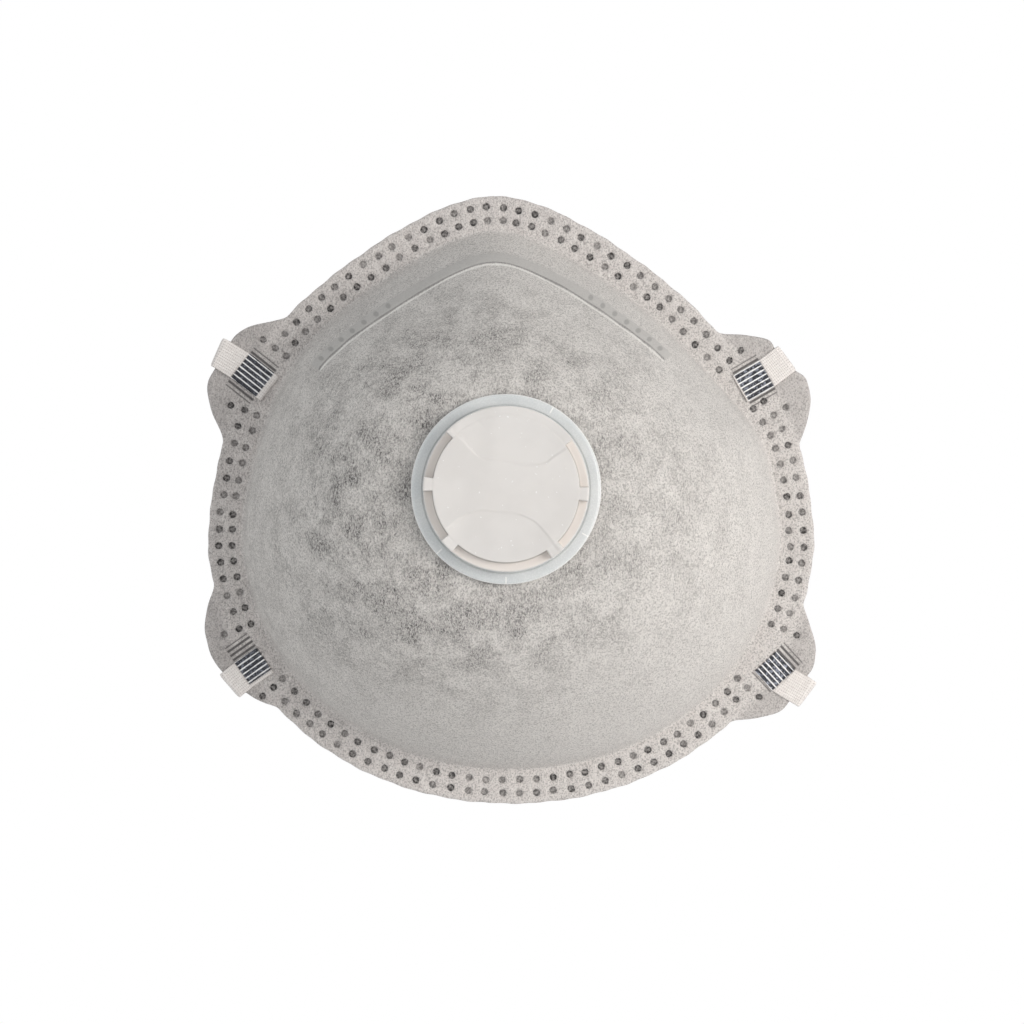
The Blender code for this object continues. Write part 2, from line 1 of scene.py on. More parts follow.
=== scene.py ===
import json
import math

import bpy
import numpy as np
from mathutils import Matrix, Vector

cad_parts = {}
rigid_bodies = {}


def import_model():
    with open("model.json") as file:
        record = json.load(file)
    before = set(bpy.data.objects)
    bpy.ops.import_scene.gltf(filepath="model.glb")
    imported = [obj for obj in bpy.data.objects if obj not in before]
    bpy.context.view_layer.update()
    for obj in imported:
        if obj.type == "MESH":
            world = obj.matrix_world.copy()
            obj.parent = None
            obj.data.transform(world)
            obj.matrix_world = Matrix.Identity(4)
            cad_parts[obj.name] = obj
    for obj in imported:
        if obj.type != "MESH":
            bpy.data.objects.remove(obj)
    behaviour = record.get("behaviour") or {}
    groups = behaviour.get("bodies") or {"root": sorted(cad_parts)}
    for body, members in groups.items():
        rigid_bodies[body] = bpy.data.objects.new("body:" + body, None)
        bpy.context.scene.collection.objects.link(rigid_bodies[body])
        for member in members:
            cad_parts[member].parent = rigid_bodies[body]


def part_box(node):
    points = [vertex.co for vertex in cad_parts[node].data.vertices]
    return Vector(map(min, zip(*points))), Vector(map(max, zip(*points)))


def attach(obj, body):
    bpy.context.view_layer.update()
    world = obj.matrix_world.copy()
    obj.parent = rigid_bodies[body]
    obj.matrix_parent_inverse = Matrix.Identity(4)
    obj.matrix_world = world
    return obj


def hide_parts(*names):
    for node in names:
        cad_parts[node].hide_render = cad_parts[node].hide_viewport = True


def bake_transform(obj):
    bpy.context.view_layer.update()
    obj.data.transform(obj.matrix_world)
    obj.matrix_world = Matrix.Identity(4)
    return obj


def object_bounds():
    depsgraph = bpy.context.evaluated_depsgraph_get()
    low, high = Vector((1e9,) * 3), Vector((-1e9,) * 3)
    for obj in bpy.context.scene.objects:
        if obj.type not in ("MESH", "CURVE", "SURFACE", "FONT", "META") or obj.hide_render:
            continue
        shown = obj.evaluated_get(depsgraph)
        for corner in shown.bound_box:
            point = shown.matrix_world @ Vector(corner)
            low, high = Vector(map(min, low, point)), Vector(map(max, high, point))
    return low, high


# A moulded dust mask: a cup of five nested layers welded round a flat rim, a nose clip under
# the outer cover, a vented exhalation valve and two knitted elastic headbands.
# Metres. The nose points to +Z and the valve to -Y.

for startupObject in list(bpy.data.objects):
    bpy.data.objects.remove(startupObject, do_unlink=True)
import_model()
cadLow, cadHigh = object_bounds()
coverLow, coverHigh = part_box("outer_cover")
baseLow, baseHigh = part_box("valve_base")
print("frame loaded")

mm = 0.001


# Camera, world, floor and lights

studio = {
    "distance": 700 * mm,  # from the rim's plane
    "frameWidth": 221.2 * mm,  # what the camera takes in at that distance
    "aim": (0.2 * mm, -2.6 * mm),  # x and z of the camera
    "sensor": 36.0,
    "ambient": 0.55,
    "keyPower": 9.3,
    "fillPower": 2.0,
    "floorDrop": 170 * mm,  # below the lowest point
}


def makeCamera():
    data = bpy.data.cameras.new("camera")
    data.sensor_width = studio["sensor"]
    data.lens = studio["sensor"] * studio["distance"] / studio["frameWidth"]
    camera = bpy.data.objects.new("camera", data)
    camera.location = (studio["aim"][0], -studio["distance"], studio["aim"][1])
    camera.rotation_euler = (math.radians(90), 0, 0)
    bpy.context.scene.collection.objects.link(camera)
    bpy.context.scene.camera = camera


def whiteToCamera(tree, other):
    # Plain white where the camera looks straight at it, and the other shader for all its light.
    path = tree.nodes.new("ShaderNodeLightPath")
    white = tree.nodes.new("ShaderNodeEmission")
    mix = tree.nodes.new("ShaderNodeMixShader")
    tree.links.new(path.outputs["Is Camera Ray"], mix.inputs[0])
    tree.links.new(other, mix.inputs[1])
    tree.links.new(white.outputs[0], mix.inputs[2])
    return mix.outputs[0]


def makeStudio():
    scene = bpy.context.scene
    scene.view_settings.view_transform = "Standard"
    world = bpy.data.worlds.new("studio")
    scene.world = world
    world.use_nodes = True
    tree = world.node_tree
    sky = tree.nodes["Background"]
    sky.inputs["Color"].default_value = (0.99, 0.995, 1.0, 1.0)
    sky.inputs["Strength"].default_value = studio["ambient"]
    tree.links.new(whiteToCamera(tree, sky.outputs[0]), tree.nodes["World Output"].inputs[0])

    side = 3.0
    corners = [(-side, -side), (side, -side), (side, side), (-side, side)]
    level = cadLow.z - studio["floorDrop"]
    mesh = bpy.data.meshes.new("floor")
    mesh.from_pydata([(x, y, level) for x, y in corners], [], [(0, 1, 2, 3)])
    floor = bpy.data.objects.new("floor", mesh)
    scene.collection.objects.link(floor)
    paint = bpy.data.materials.new("pale floor")
    paint.use_nodes = True
    shader = paint.node_tree.nodes["Principled BSDF"]
    shader.inputs["Base Color"].default_value = (0.85, 0.85, 0.85, 1)
    shader.inputs["Roughness"].default_value = 0.9
    shown = whiteToCamera(paint.node_tree, shader.outputs[0])
    paint.node_tree.links.new(shown, paint.node_tree.nodes["Material Output"].inputs[0])
    mesh.materials.append(paint)

    lamps = {
        "key": ((1.0, -0.9, 0.15), 0.6, studio["keyPower"], (1.0, 0.96, 0.92)),
        "fill": ((-0.95, -0.8, 0.35), 1.0, studio["fillPower"], (0.95, 0.98, 1.0)),
        "back": ((0.3, 1.1, 0.7), 1.0, studio["fillPower"] * 1.6, (1.0, 1.0, 1.0)),
    }
    for name, (place, size, power, colour) in lamps.items():
        data = bpy.data.lights.new(name, "AREA")
        data.size = size
        data.energy = power
        data.color = colour
        lamp = bpy.data.objects.new(name, data)
        lamp.location = place
        direction = -lamp.location
        lamp.rotation_euler = direction.to_track_quat("-Z", "Y").to_euler()
        scene.collection.objects.link(lamp)


makeCamera()
makeStudio()
print("camera and studio made")


# Meshes from arrays


def addMesh(name, points, quads, triangles=None):
    # Puts arrays of points and faces into a smooth-shaded mesh object.
    triangles = np.zeros((0, 3), int) if triangles is None else triangles
    mesh = bpy.data.meshes.new(name)
    loops = np.concatenate([quads.ravel(), triangles.ravel()]).astype(np.int32)
    sizes = np.concatenate([np.full(len(quads), 4), np.full(len(triangles), 3)])
    starts = np.concatenate([[0], np.cumsum(sizes)[:-1]]).astype(np.int32)
    mesh.vertices.add(len(points))
    mesh.vertices.foreach_set("co", np.asarray(points, np.float32).ravel())
    mesh.loops.add(len(loops))
    mesh.loops.foreach_set("vertex_index", loops)
    mesh.polygons.add(len(sizes))
    mesh.polygons.foreach_set("loop_start", starts)
    mesh.update(calc_edges=True)
    mesh.validate()
    mesh.shade_smooth()
    obj = bpy.data.objects.new(name, mesh)
    bpy.context.scene.collection.objects.link(obj)
    return obj


def pointValues(obj, values):
    # Stores named numbers on the points of a mesh, for its material to read.
    for name, numbers in values.items():
        attribute = obj.data.attributes.new(name, "FLOAT", "POINT")
        attribute.data.foreach_set("value", np.asarray(numbers, np.float32).ravel())


def gridQuads(index, wrap=True):
    # Faces between the rows and columns of a grid of point numbers.
    left = index if wrap else index[:, :-1]
    right = np.roll(index, -1, axis=1) if wrap else index[:, 1:]
    return np.stack([left[:-1], left[1:], right[1:], right[:-1]], axis=-1).reshape(-1, 4)


def finePairs(fine, coarse, coarseFirst=False):
    # Joins a ring to one with a third as many points: two triangles and a quad to each step.
    f0, f1, f2 = fine[0::3], fine[1::3], fine[2::3]
    f3, c0, c1 = np.roll(f0, -1), coarse, np.roll(coarse, -1)
    quads = np.stack([f1, c0, c1, f2], axis=-1)
    triangles = np.concatenate([np.stack([f0, c0, f1], axis=-1), np.stack([f2, c1, f3], axis=-1)])
    if coarseFirst:
        return quads[:, ::-1], triangles[:, ::-1]
    return quads, triangles


def smoothStep(value, low, high):
    share = np.clip((value - low) / (high - low), 0.0, 1.0)
    return share * share * (3 - 2 * share)


def unit(vectors):
    return vectors / np.maximum(np.linalg.norm(vectors, axis=-1, keepdims=True), 1e-12)


# The cup's surface, as the frame's solids have it

cup = {
    "halfWidth": 65.7 * mm,
    "halfHeight": 65.6 * mm,
    "flange": 7.2 * mm,  # from the outer edge to the foot of the wall
    "sweep": 3.0 * mm,  # how far the cheeks are swept back
    "noseLean": -3.5 * mm,  # the nose end is welded this far off centre
    "leanFrom": 12 * mm,
    "leanTo": 40 * mm,
    "depth": -coverLow.y,
    "footRadius": 0.8 * mm,
    "valveX": (baseLow.x + baseHigh.x) / 2,
    "valveZ": (baseLow.z + baseHigh.z) / 2,
    "flatMargin": 1.2 * mm,
    "holeGap": 0.3 * mm,
    "spigot": 15.0 * mm,
    "fineColumns": 1200,  # round the flange, where the weld dots are pressed
    "flangeRows": 27,
    "bandRows": 34,  # over the nose clip
    "wallRows": 32,
    "bandDepth": 10.2 * mm,
}

# Half of the rim's outline without its tabs, in half widths and half heights: a few points from
# the nose down to the cheek, then a rounded quarter from the cheek to the chin.
rimShape = {
    "noseSide": [(0.00, 1.00), (0.28, 0.91), (0.62, 0.67), (0.84, 0.41), (0.95, 0.19)],
    "cheek": -0.10,  # where the rim is widest
    "power": 2.05,  # 2 gives an ellipse, and more is squarer
    "steps": 9,
}

# Each corner's tab and the welded strap on it: the tab's middle height and how far it stands
# out, the way its strap leaves, and the pad of weld ribs pressed through the strap. The last
# number sets the painted glint on its weld, strongest at the lower right where the light falls.
corners = {
    "upper_right": {"side": 1, "z": 25.0, "height": 8.6, "strap": 36.5, "fold": (60.0, 30.9),
                    "notch": 1.7, "pad": (52.6, 25.8), "onStrap": (52.6, 25.8), "ribTurn": 30,
                    "ribLength": 6.8, "across": 9.6, "tail": 0.1, "bright": 0.7},
    "upper_left": {"side": -1, "z": 27.0, "height": 7.8, "strap": 156, "fold": (-64.0, 32.2),
                   "notch": 0.8, "pad": (-56.1, 26.9), "onStrap": (-55.8, 26.9),
                   "ribTurn": -38.2, "ribLength": 7.3, "across": 10.4, "tail": 0.9, "bright": 0.0},
    "lower_left": {"side": -1, "z": -32.5, "height": 5.6, "strap": 221, "fold": (-61.2, -40.5),
                   "notch": 0.7, "pad": (-56.9, -34.4), "onStrap": (-56.1, -36.6), "ribTurn": 35,
                   "ribLength": 6.3, "across": 9.8, "tail": 0.2, "bright": 0.35},
    "lower_right": {"side": 1, "z": -36.5, "height": 7.6, "strap": -37, "fold": (64.5, -42.4),
                    "notch": 0.7, "pad": (57.7, -36.3), "onStrap": (57.5, -37.3), "ribTurn": -47,
                    "ribLength": 6.2, "across": 9.8, "tail": 0.2, "bright": 1.0},
}
tabHalfLength = 15.5 * mm


def closedSpline(points, steps):
    # A smooth closed curve through the points: each piece is a cubic set by its four neighbours.
    p = np.asarray(points, float)
    t = np.linspace(0, 1, steps, endpoint=False)[None, :, None]
    a, b, c, d = (np.roll(p, shift, axis=0)[:, None, :] for shift in (1, 0, -1, -2))
    curve = b + 0.5 * t * (c - a + t * (2 * a - 5 * b + 4 * c - d + t * (3 * (b - c) + d - a)))
    return curve.reshape(-1, p.shape[1])


def openSpline(points, steps=12):
    p = np.asarray(points, float)
    padded = np.vstack([2 * p[0] - p[1], p, 2 * p[-1] - p[-2]])
    t = np.linspace(0, 1, steps, endpoint=False)[None, :, None]
    a, b, c, d = (padded[k : len(padded) - 3 + k][:, None, :] for k in range(4))
    curve = b + 0.5 * t * (c - a + t * (2 * a - 5 * b + 4 * c - d + t * (3 * (b - c) + d - a)))
    return np.vstack([curve.reshape(-1, p.shape[1]), p[-1:]])


def makeRimLine():
    # The outline without its tabs, clockwise from the nose as seen from the front.
    # The chin's quarter is a superellipse: x is a power of the cosine, z the same power of the sine.
    turn = np.linspace(0, math.pi / 2, rimShape["steps"])
    x = np.cos(turn) ** (2 / rimShape["power"])
    z = rimShape["cheek"] - (1 + rimShape["cheek"]) * np.sin(turn) ** (2 / rimShape["power"])
    half = np.vstack([rimShape["noseSide"], np.stack([x, z], axis=1)])
    half = half * (cup["halfWidth"], cup["halfHeight"])
    mirrored = half[-2:0:-1] * (-1, 1)
    line = closedSpline(np.vstack([half, mirrored]), 40)
    shift = cup["noseLean"] * smoothStep(line[:, 1], cup["leanFrom"], cup["leanTo"])
    return line + np.stack([shift, np.zeros_like(shift)], axis=1)


rimLine = makeRimLine()
rimArcs = np.concatenate([[0], np.cumsum(np.linalg.norm(np.roll(rimLine, -1, 0) - rimLine, axis=1))])
rimLength = rimArcs[-1]


def rimAt(arcs):
    closed = np.vstack([rimLine, rimLine[:1]])
    wrapped = np.mod(arcs, rimLength)
    return np.stack([np.interp(wrapped, rimArcs, closed[:, k]) for k in range(2)], axis=-1)


def rimOutward(arcs):
    ahead = rimAt(arcs + 2 * mm) - rimAt(arcs - 2 * mm)
    return unit(np.stack([-ahead[..., 1], ahead[..., 0]], axis=-1))


def arcNear(x, z):
    # How far round the rim the point of the outline nearest to a place is.
    return rimArcs[np.argmin(np.hypot(rimLine[:, 0] - x, rimLine[:, 1] - z))]


def roundGap(a, b):
    # The shorter way round the rim from one place to another.
    return np.abs(np.mod(a - b + rimLength / 2, rimLength) - rimLength / 2)


def tabRise(arcs):
    # Each tab is a bump whose height falls as (1 - u^2.6)^1.6 to either side of its middle.
    rise = np.zeros(np.shape(arcs))
    for corner in corners.values():
        onSide = np.flatnonzero(corner["side"] * rimLine[:, 0] > 0)
        middle = rimArcs[onSide[np.argmin(abs(rimLine[onSide, 1] - corner["z"] * mm))]]
        away = np.clip(roundGap(arcs, middle) / tabHalfLength, 0, 1)
        rise = rise + corner["height"] * mm * (1 - away**2.6) ** 1.6
    return rise


def strapNotch(arcs):
    # How far each strap's fold draws the edge of its tab in.
    drawn = np.zeros(np.shape(arcs))
    for corner in corners.values():
        away = roundGap(arcs, arcNear(corner["fold"][0] * mm, corner["fold"][1] * mm))
        drawn = drawn + corner["notch"] * mm * np.exp(-((away / (4.2 * mm)) ** 4))
    return drawn


def cupRise(share, nose, chin):
    # How far the wall has risen at a share of the way in: powers of the share, a steep one at
    # the cheeks and gentler ones at the nose and the chin, mixed by how near those are.
    side = (1 - (1 - share) ** 1.9) ** 0.72
    bridge = (1 - (1 - share) ** 1.5) ** 1.05
    jaw = (1 - (1 - share) ** 1.8) ** 0.82
    return side + nose * (bridge - side) + chin * (jaw - side)


def ripple(x, z, seed):
    # A slow unevenness between -1 and 1: three crossed waves.
    phase = seed * 1.7
    first = np.sin(x * 210 + z * 95 + phase)
    second = np.sin(x * -130 + z * 260 + 2.1 * phase)
    third = np.sin(x * 430 + z * 380 + 0.6 * phase)
    return 0.45 * first + 0.35 * second + 0.2 * third


def cupSheet(columns, edgeInset=0.0, withTabs=True):
    # Rows of points from the edge to the valve's hole. On the flange they run evenly between
    # the edge and the foot of the wall; then evenly over the nose clip's width; then in equal
    # shares to the flat round the valve.
    arcs = np.arange(columns) / columns * rimLength
    line, normal = rimAt(arcs), rimOutward(arcs)
    rise = tabRise(arcs) - strapNotch(arcs) if withTabs else np.zeros(columns)
    trim = 0.12 * mm * np.sin(arcs * 900) * np.sin(arcs * 370 + 1) if withTabs else 0.0
    start = rise - edgeInset + trim
    v = np.linspace(0, 1, cup["flangeRows"])[:, None]
    out = start + (-cup["flange"] - start) * v
    flat = line + normal * out[..., None]
    flangeY = cup["sweep"] * (flat[..., 0] / cup["halfWidth"]) ** 2
    flangeGrid = np.stack([flat[..., 0], flangeY, flat[..., 1]], axis=-1)

    foot = line - normal * cup["flange"]
    centre = np.array([cup["valveX"], cup["valveZ"]])
    away = foot - centre
    reach = np.linalg.norm(away, axis=1)
    flatRadius = (baseHigh.x - baseLow.x) / 2 + cup["flatMargin"]
    length = reach - flatRadius
    inner = centre + away / reach[:, None] * flatRadius
    bandIn = np.linspace(0, 1, cup["bandRows"] + 1)[1:, None] * cup["bandDepth"]
    wallIn = np.linspace(0, 1, cup["wallRows"] + 1)[1:, None]
    bandIn = np.broadcast_to(bandIn, (cup["bandRows"], columns))
    inward = np.vstack([bandIn, cup["bandDepth"] + (length - cup["bandDepth"]) * wallIn])
    share = inward / length
    fromNose = roundGap(arcs, 0.0)
    nose = np.exp(-((fromNose / 0.052) ** 2))
    chin = np.exp(-(((rimLength / 2 - fromNose) / 0.060) ** 2))
    soft = inward**2 / (inward**2 + cup["footRadius"] ** 2)
    lift = cupRise(np.clip(share, 0, 1), nose, chin) * soft
    flat = foot + (inner - foot) * share[..., None]
    footY = cup["sweep"] * (foot[:, 0] / cup["halfWidth"]) ** 2
    wallGrid = np.stack([flat[..., 0], footY * (1 - lift) - cup["depth"] * lift, flat[..., 1]], axis=-1)

    holeRadius = cup["spigot"] + cup["holeGap"]
    rings = np.linspace(flatRadius, holeRadius, 4)[1:, None, None]
    ringFlat = centre + away / reach[:, None] * rings
    ringY = np.full(ringFlat.shape[:2], -cup["depth"])
    ringGrid = np.stack([ringFlat[..., 0], ringY, ringFlat[..., 1]], axis=-1)

    points = np.vstack([flangeGrid, wallGrid, ringGrid])
    rows = len(points)
    inward = np.vstack([-cup["flange"] - out, inward, np.broadcast_to(length, (3, columns))])
    share = np.vstack([np.zeros_like(out), share, np.ones((3, columns))])
    ahead = unit(np.roll(points, -1, axis=1) - points)
    across = ahead + np.roll(ahead, 1, axis=1)
    step = unit(np.diff(points, axis=0))
    inSteps = np.concatenate([step[:1], step]) + np.concatenate([step, step[-1:]])
    normals = unit(np.cross(inSteps, across))
    return {
        "arcs": np.broadcast_to(arcs, (rows, columns)),
        "points": points,
        "normals": normals,
        "inward": inward,  # from the foot, negative on the flange
        "edgeIn": inward + cup["flange"],  # from the outline without tabs
        "share": share,
        "fromEdge": np.cumsum(np.concatenate([np.zeros((1, columns)),
                              np.linalg.norm(np.diff(points, axis=0), axis=-1)]), axis=0),
    }


fineSheet = cupSheet(cup["fineColumns"])
print("cup surface worked out, rim", round(rimLength, 4))


# The weld dots, two rows all round and a third dot beside each strap

dots = {
    "count": 105,
    "rows": (2.3 * mm, 5.2 * mm),  # in from the outline
    "extraRow": -0.9 * mm,
    "dent": 0.30 * mm,
    "besidePad": 7.9 * mm,
    "coveredBy": 4.6 * mm,
}


def dotField(sheet):
    # For each point of a sheet: how far it is from the nearest dot's middle, and a tone between
    # 0 and 1 that is the same all over one dot.
    random = np.random.default_rng(7)
    tones = random.uniform(0.15, 1.0, (3, dots["count"]))
    shifts = random.normal(0, 0.12 * mm, (2, 3, dots["count"]))
    pitch = rimLength / dots["count"]
    cell = np.floor(sheet["arcs"] / pitch).astype(int) % dots["count"]
    spacing = np.linalg.norm(np.roll(sheet["points"], -1, 1) - sheet["points"], axis=-1)
    stretch = spacing / (rimLength / sheet["arcs"].shape[1])
    middles = (np.arange(dots["count"]) + 0.5) * pitch
    padArcs = [arcNear(c["pad"][0] * mm, c["pad"][1] * mm) for c in corners.values()]
    covered = np.min([roundGap(middles, arc) for arc in padArcs], axis=0) < dots["coveredBy"]
    beside = np.zeros(dots["count"], bool)
    for arc in padArcs:
        for side in (-1, 1):
            beside[np.argmin(roundGap(middles, arc + side * dots["besidePad"]))] = True
    near = np.full(sheet["arcs"].shape, 1.0)
    tone = np.zeros(sheet["arcs"].shape)
    for number, row in enumerate((*dots["rows"], dots["extraRow"])):
        shown = beside if number == 2 else ~covered
        along = (sheet["arcs"] - middles[cell] - shifts[0, number][cell]) * stretch
        away = np.hypot(along, sheet["edgeIn"] - row - shifts[1, number][cell])
        away = np.where(shown[cell], away, 1.0)
        closer = away < near
        near = np.where(closer, away, near)
        tone = np.where(closer, tones[number][cell], tone)
    return np.minimum(near, 5 * mm), tone


def padField(sheet):
    # Where a point lies on the nearest strap's pad: across its ribs and along them, in mm, and
    # whether it is near a pad at all.
    across, along, near = (np.zeros(sheet["arcs"].shape) for _ in range(3))
    for corner in corners.values():
        turn = math.radians(corner["ribTurn"])
        dx = sheet["points"][..., 0] / mm - corner["pad"][0]
        dz = sheet["points"][..., 2] / mm - corner["pad"][1]
        u = (dx * math.cos(turn) + dz * math.sin(turn)) * 7.0 / corner["ribLength"]
        v = (-dx * math.sin(turn) + dz * math.cos(turn)) * 9.6 / corner["across"]
        distance = np.hypot(dx, dz)
        along = np.where(distance < 14, u, along)
        across = np.where(distance < 14, v, across)
        near = np.maximum(near, 1 - smoothStep(distance, 8.0, 10.0))
    return across, along, near


def ribDents(sheet):
    # The ribs of each strap's weld, pressed into the cover beside the strap.
    across, along, near = padField(sheet)
    on = smoothStep(4.8 - np.abs(across), 0, 0.4) * smoothStep(3.5 - np.abs(along), 0, 0.5) * near
    return 0.10 * mm * on * (1 - np.cos(across * 2 * math.pi / 1.05))


# The band over the nose clip

noseBand = {
    "lowEdge": 7.0 * mm,  # in from the foot of the wall, at the ends
    "lower": 1.4 * mm,  # further in at the middle
    "width": 2.2 * mm,
    "lift": 0.42 * mm,
    "middle": -2.0 * mm,  # along the rim from the nose
    "halfLength": 57.0 * mm,
}


def signedArc(arcs):
    # Along the rim from the nose, positive to the right.
    return np.mod(arcs + rimLength / 2, rimLength) - rimLength / 2


def bandDown(sheet):
    # Distance past the strip's lower edge, which bows inwards towards the middle.
    along = signedArc(sheet["arcs"]) - noseBand["middle"]
    bow = np.clip(1 - (along / noseBand["halfLength"]) ** 2, 0, 1)
    return sheet["inward"] - noseBand["lowEdge"] - noseBand["lower"] * bow


def bandLift(sheet):
    # The cover rises gently from the rim's side, stays level over the clip and drops in one
    # sharp step at the clip's lower edge. It fades out round the clip's ends.
    down = bandDown(sheet)
    along = signedArc(sheet["arcs"]) - noseBand["middle"]
    ends = 1 - smoothStep(np.abs(along), noseBand["halfLength"] - 1.2 * mm, noseBand["halfLength"])
    upper = smoothStep(down, -noseBand["width"] - 0.9 * mm, -noseBand["width"] + 0.3 * mm)
    lower = 1 - smoothStep(down, -0.10 * mm, 0.22 * mm)
    return noseBand["lift"] * upper * lower * ends


# The five layers: how deep their outer and inner faces lie on the flange, where they are
# pressed together, and on the wall

layers = {
    "outerCover": {"node": "outer_cover", "flange": (0.0, 0.50), "wall": (0.0, 0.35)},
    "carbonFelt": {"node": "carbon_felt", "flange": (0.54, 0.62), "wall": (0.65, 1.05)},
    "filterLayer": {"node": "filter_layer", "flange": (0.66, 0.74), "wall": (1.35, 1.65)},
    "supportShell": {"node": "support_shell", "flange": (0.78, 0.90), "wall": (1.95, 2.55)},
    "innerLining": {"node": "inner_lining", "flange": (0.94, 1.44), "wall": (2.85, 3.20)},
}
middleInset = 1.2 * mm  # the middle layers stop short of the edge
flangeMiddle = 0.72 * mm  # depth of the flange's middle, where the two outer layers meet


def faceDepth(sheet, flangeDepth, wallDepth):
    # Depth under the outer surface: pressed thin on the flange, full on the wall, and drawn
    # towards the flange's middle over the last millimetre before the edge.
    opening = smoothStep(sheet["inward"], -1.5 * mm, 5.0 * mm)
    depth = (flangeDepth + (wallDepth - flangeDepth) * opening) * mm
    edge = smoothStep(sheet["fromEdge"], 0.0, 0.9 * mm)
    edge = np.sqrt(np.clip(edge, 0, 1)) * 0.45 + 0.55
    return flangeMiddle + (depth - flangeMiddle) * np.where(sheet["inward"] < 0, edge, 1.0)


def sheetFace(sheet, depth, uneven=0.0):
    rough = ripple(sheet["points"][..., 0], sheet["points"][..., 2], 3) * uneven
    fade = smoothStep(sheet["inward"], 1 * mm, 8 * mm) * (1 - smoothStep(sheet["share"], 0.8, 1.0))
    return sheet["points"] - sheet["normals"] * (depth - rough * fade)[..., None]


def everyThird(grid):
    return grid[:, ::3]


def makeOuterLayer(name, backFacing):
    # A closed sheet whose seen face is fine on the flange, where the dots are pressed into it,
    # and a third as fine elsewhere and on its hidden face.
    layer, sheet, rows = layers[name], fineSheet, cup["flangeRows"]
    outer = faceDepth(sheet, layer["flange"][0], layer["wall"][0])
    inner = faceDepth(sheet, layer["flange"][1], layer["wall"][1])
    near, tone = dotField(sheet)
    dent = dots["dent"] * (1 - smoothStep(near, 0.45 * mm, 1.05 * mm))
    pillow = 0.06 * mm * smoothStep(near, 0.9 * mm, 2.0 * mm) * (sheet["inward"] < -0.4 * mm)
    if backFacing:
        seen, hidden = inner - dent + pillow, outer
    else:
        lift = bandLift(sheet)
        seen, hidden = outer + dent - pillow - lift + ribDents(sheet), inner - lift
    seenFace = sheetFace(sheet, seen, 0.16 * mm)
    hiddenFace = everyThird(sheetFace(sheet, hidden, 0.16 * mm))
    fine, wall = seenFace[:rows], everyThird(seenFace[rows:])
    points = np.concatenate([part.reshape(-1, 3) for part in (fine, wall, hiddenFace)])
    fineIndex = np.arange(fine.shape[0] * fine.shape[1]).reshape(fine.shape[:2])
    wallIndex = fineIndex.size + np.arange(wall.shape[0] * wall.shape[1]).reshape(wall.shape[:2])
    hiddenIndex = fineIndex.size + wallIndex.size
    hiddenIndex = hiddenIndex + np.arange(hiddenFace.shape[0] * hiddenFace.shape[1])
    hiddenIndex = hiddenIndex.reshape(hiddenFace.shape[:2])
    footQuads, footTriangles = finePairs(fineIndex[-1], wallIndex[0])
    edgeQuads, edgeTriangles = finePairs(fineIndex[0], hiddenIndex[0], coarseFirst=True)
    hole = gridQuads(np.stack([wallIndex[-1], hiddenIndex[-1]]))
    quads = np.concatenate([gridQuads(fineIndex), gridQuads(wallIndex), footQuads, edgeQuads, hole,
                            gridQuads(hiddenIndex)[:, ::-1]])
    triangles = np.concatenate([footTriangles, edgeTriangles])
    if backFacing:
        quads, triangles = quads[:, ::-1], triangles[:, ::-1]
    obj = addMesh(name, points, quads, triangles)
    across, along, nearPad = padField(sheet)

    def onAll(values):
        values = np.asarray(values, float)
        thinned = everyThird(values)
        return np.concatenate([values[:rows].ravel(), thinned[rows:].ravel(), thinned.ravel()])

    numbers = {
        "dotNear": near / mm,
        "dotTone": tone,
        "inward": sheet["inward"] / mm,
        "bandDown": np.clip(bandDown(sheet) / mm, -12, 12),
        "edgeIn": sheet["edgeIn"] / mm,
        "share": sheet["share"],
        "noseAway": np.abs(signedArc(sheet["arcs"]) - noseBand["middle"]) / mm,
        "padAcross": across,
        "padAlong": along,
        "padNear": nearPad,
    }
    pointValues(obj, {key: onAll(values) for key, values in numbers.items()})
    return obj


def makeMiddleLayer(name):
    # A closed sheet between two depths.
    layer, sheet = layers[name], middleSheet
    faces = [sheetFace(sheet, faceDepth(sheet, layer["flange"][k], layer["wall"][k])) for k in (0, 1)]
    front = np.arange(faces[0].shape[0] * faces[0].shape[1]).reshape(faces[0].shape[:2])
    back = front + front.size
    edge = gridQuads(np.stack([back[0], front[0]]))
    hole = gridQuads(np.stack([front[-1], back[-1]]))
    quads = np.concatenate([gridQuads(front), gridQuads(back)[:, ::-1], edge, hole])
    return addMesh(name, np.concatenate([face.reshape(-1, 3) for face in faces]), quads)


middleSheet = cupSheet(300, middleInset, False)


def sheetPiece(name, back=False):
    obj = makeOuterLayer(name, back)
    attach(obj, "root")
    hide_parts(layers[name]["node"])
    return obj


outerCover = sheetPiece("outerCover")
innerLining = sheetPiece("innerLining", True)
middleLayers = {}
for layerName in ("carbonFelt", "filterLayer", "supportShell"):
    middleLayers[layerName] = makeMiddleLayer(layerName)
    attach(middleLayers[layerName], "root")
    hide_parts(layers[layerName]["node"])
print("layers made")


# Nose clip and foam

noseClip = {
    "start": 5.4 * mm,  # in from the foot of the wall
    "width": 2.0 * mm,
    "thickness": 0.7 * mm,
    "depth": 0.34 * mm,  # of its front face under the outer surface
    "halfLength": 55.0 * mm,
}
noseFoam = {
    "start": 1.6 * mm,
    "width": 10.8 * mm,
    "thickness": 4.0 * mm,
    "depth": 3.5 * mm,
    "halfLength": 46.5 * mm,
    "chamfer": 0.7 * mm,
}


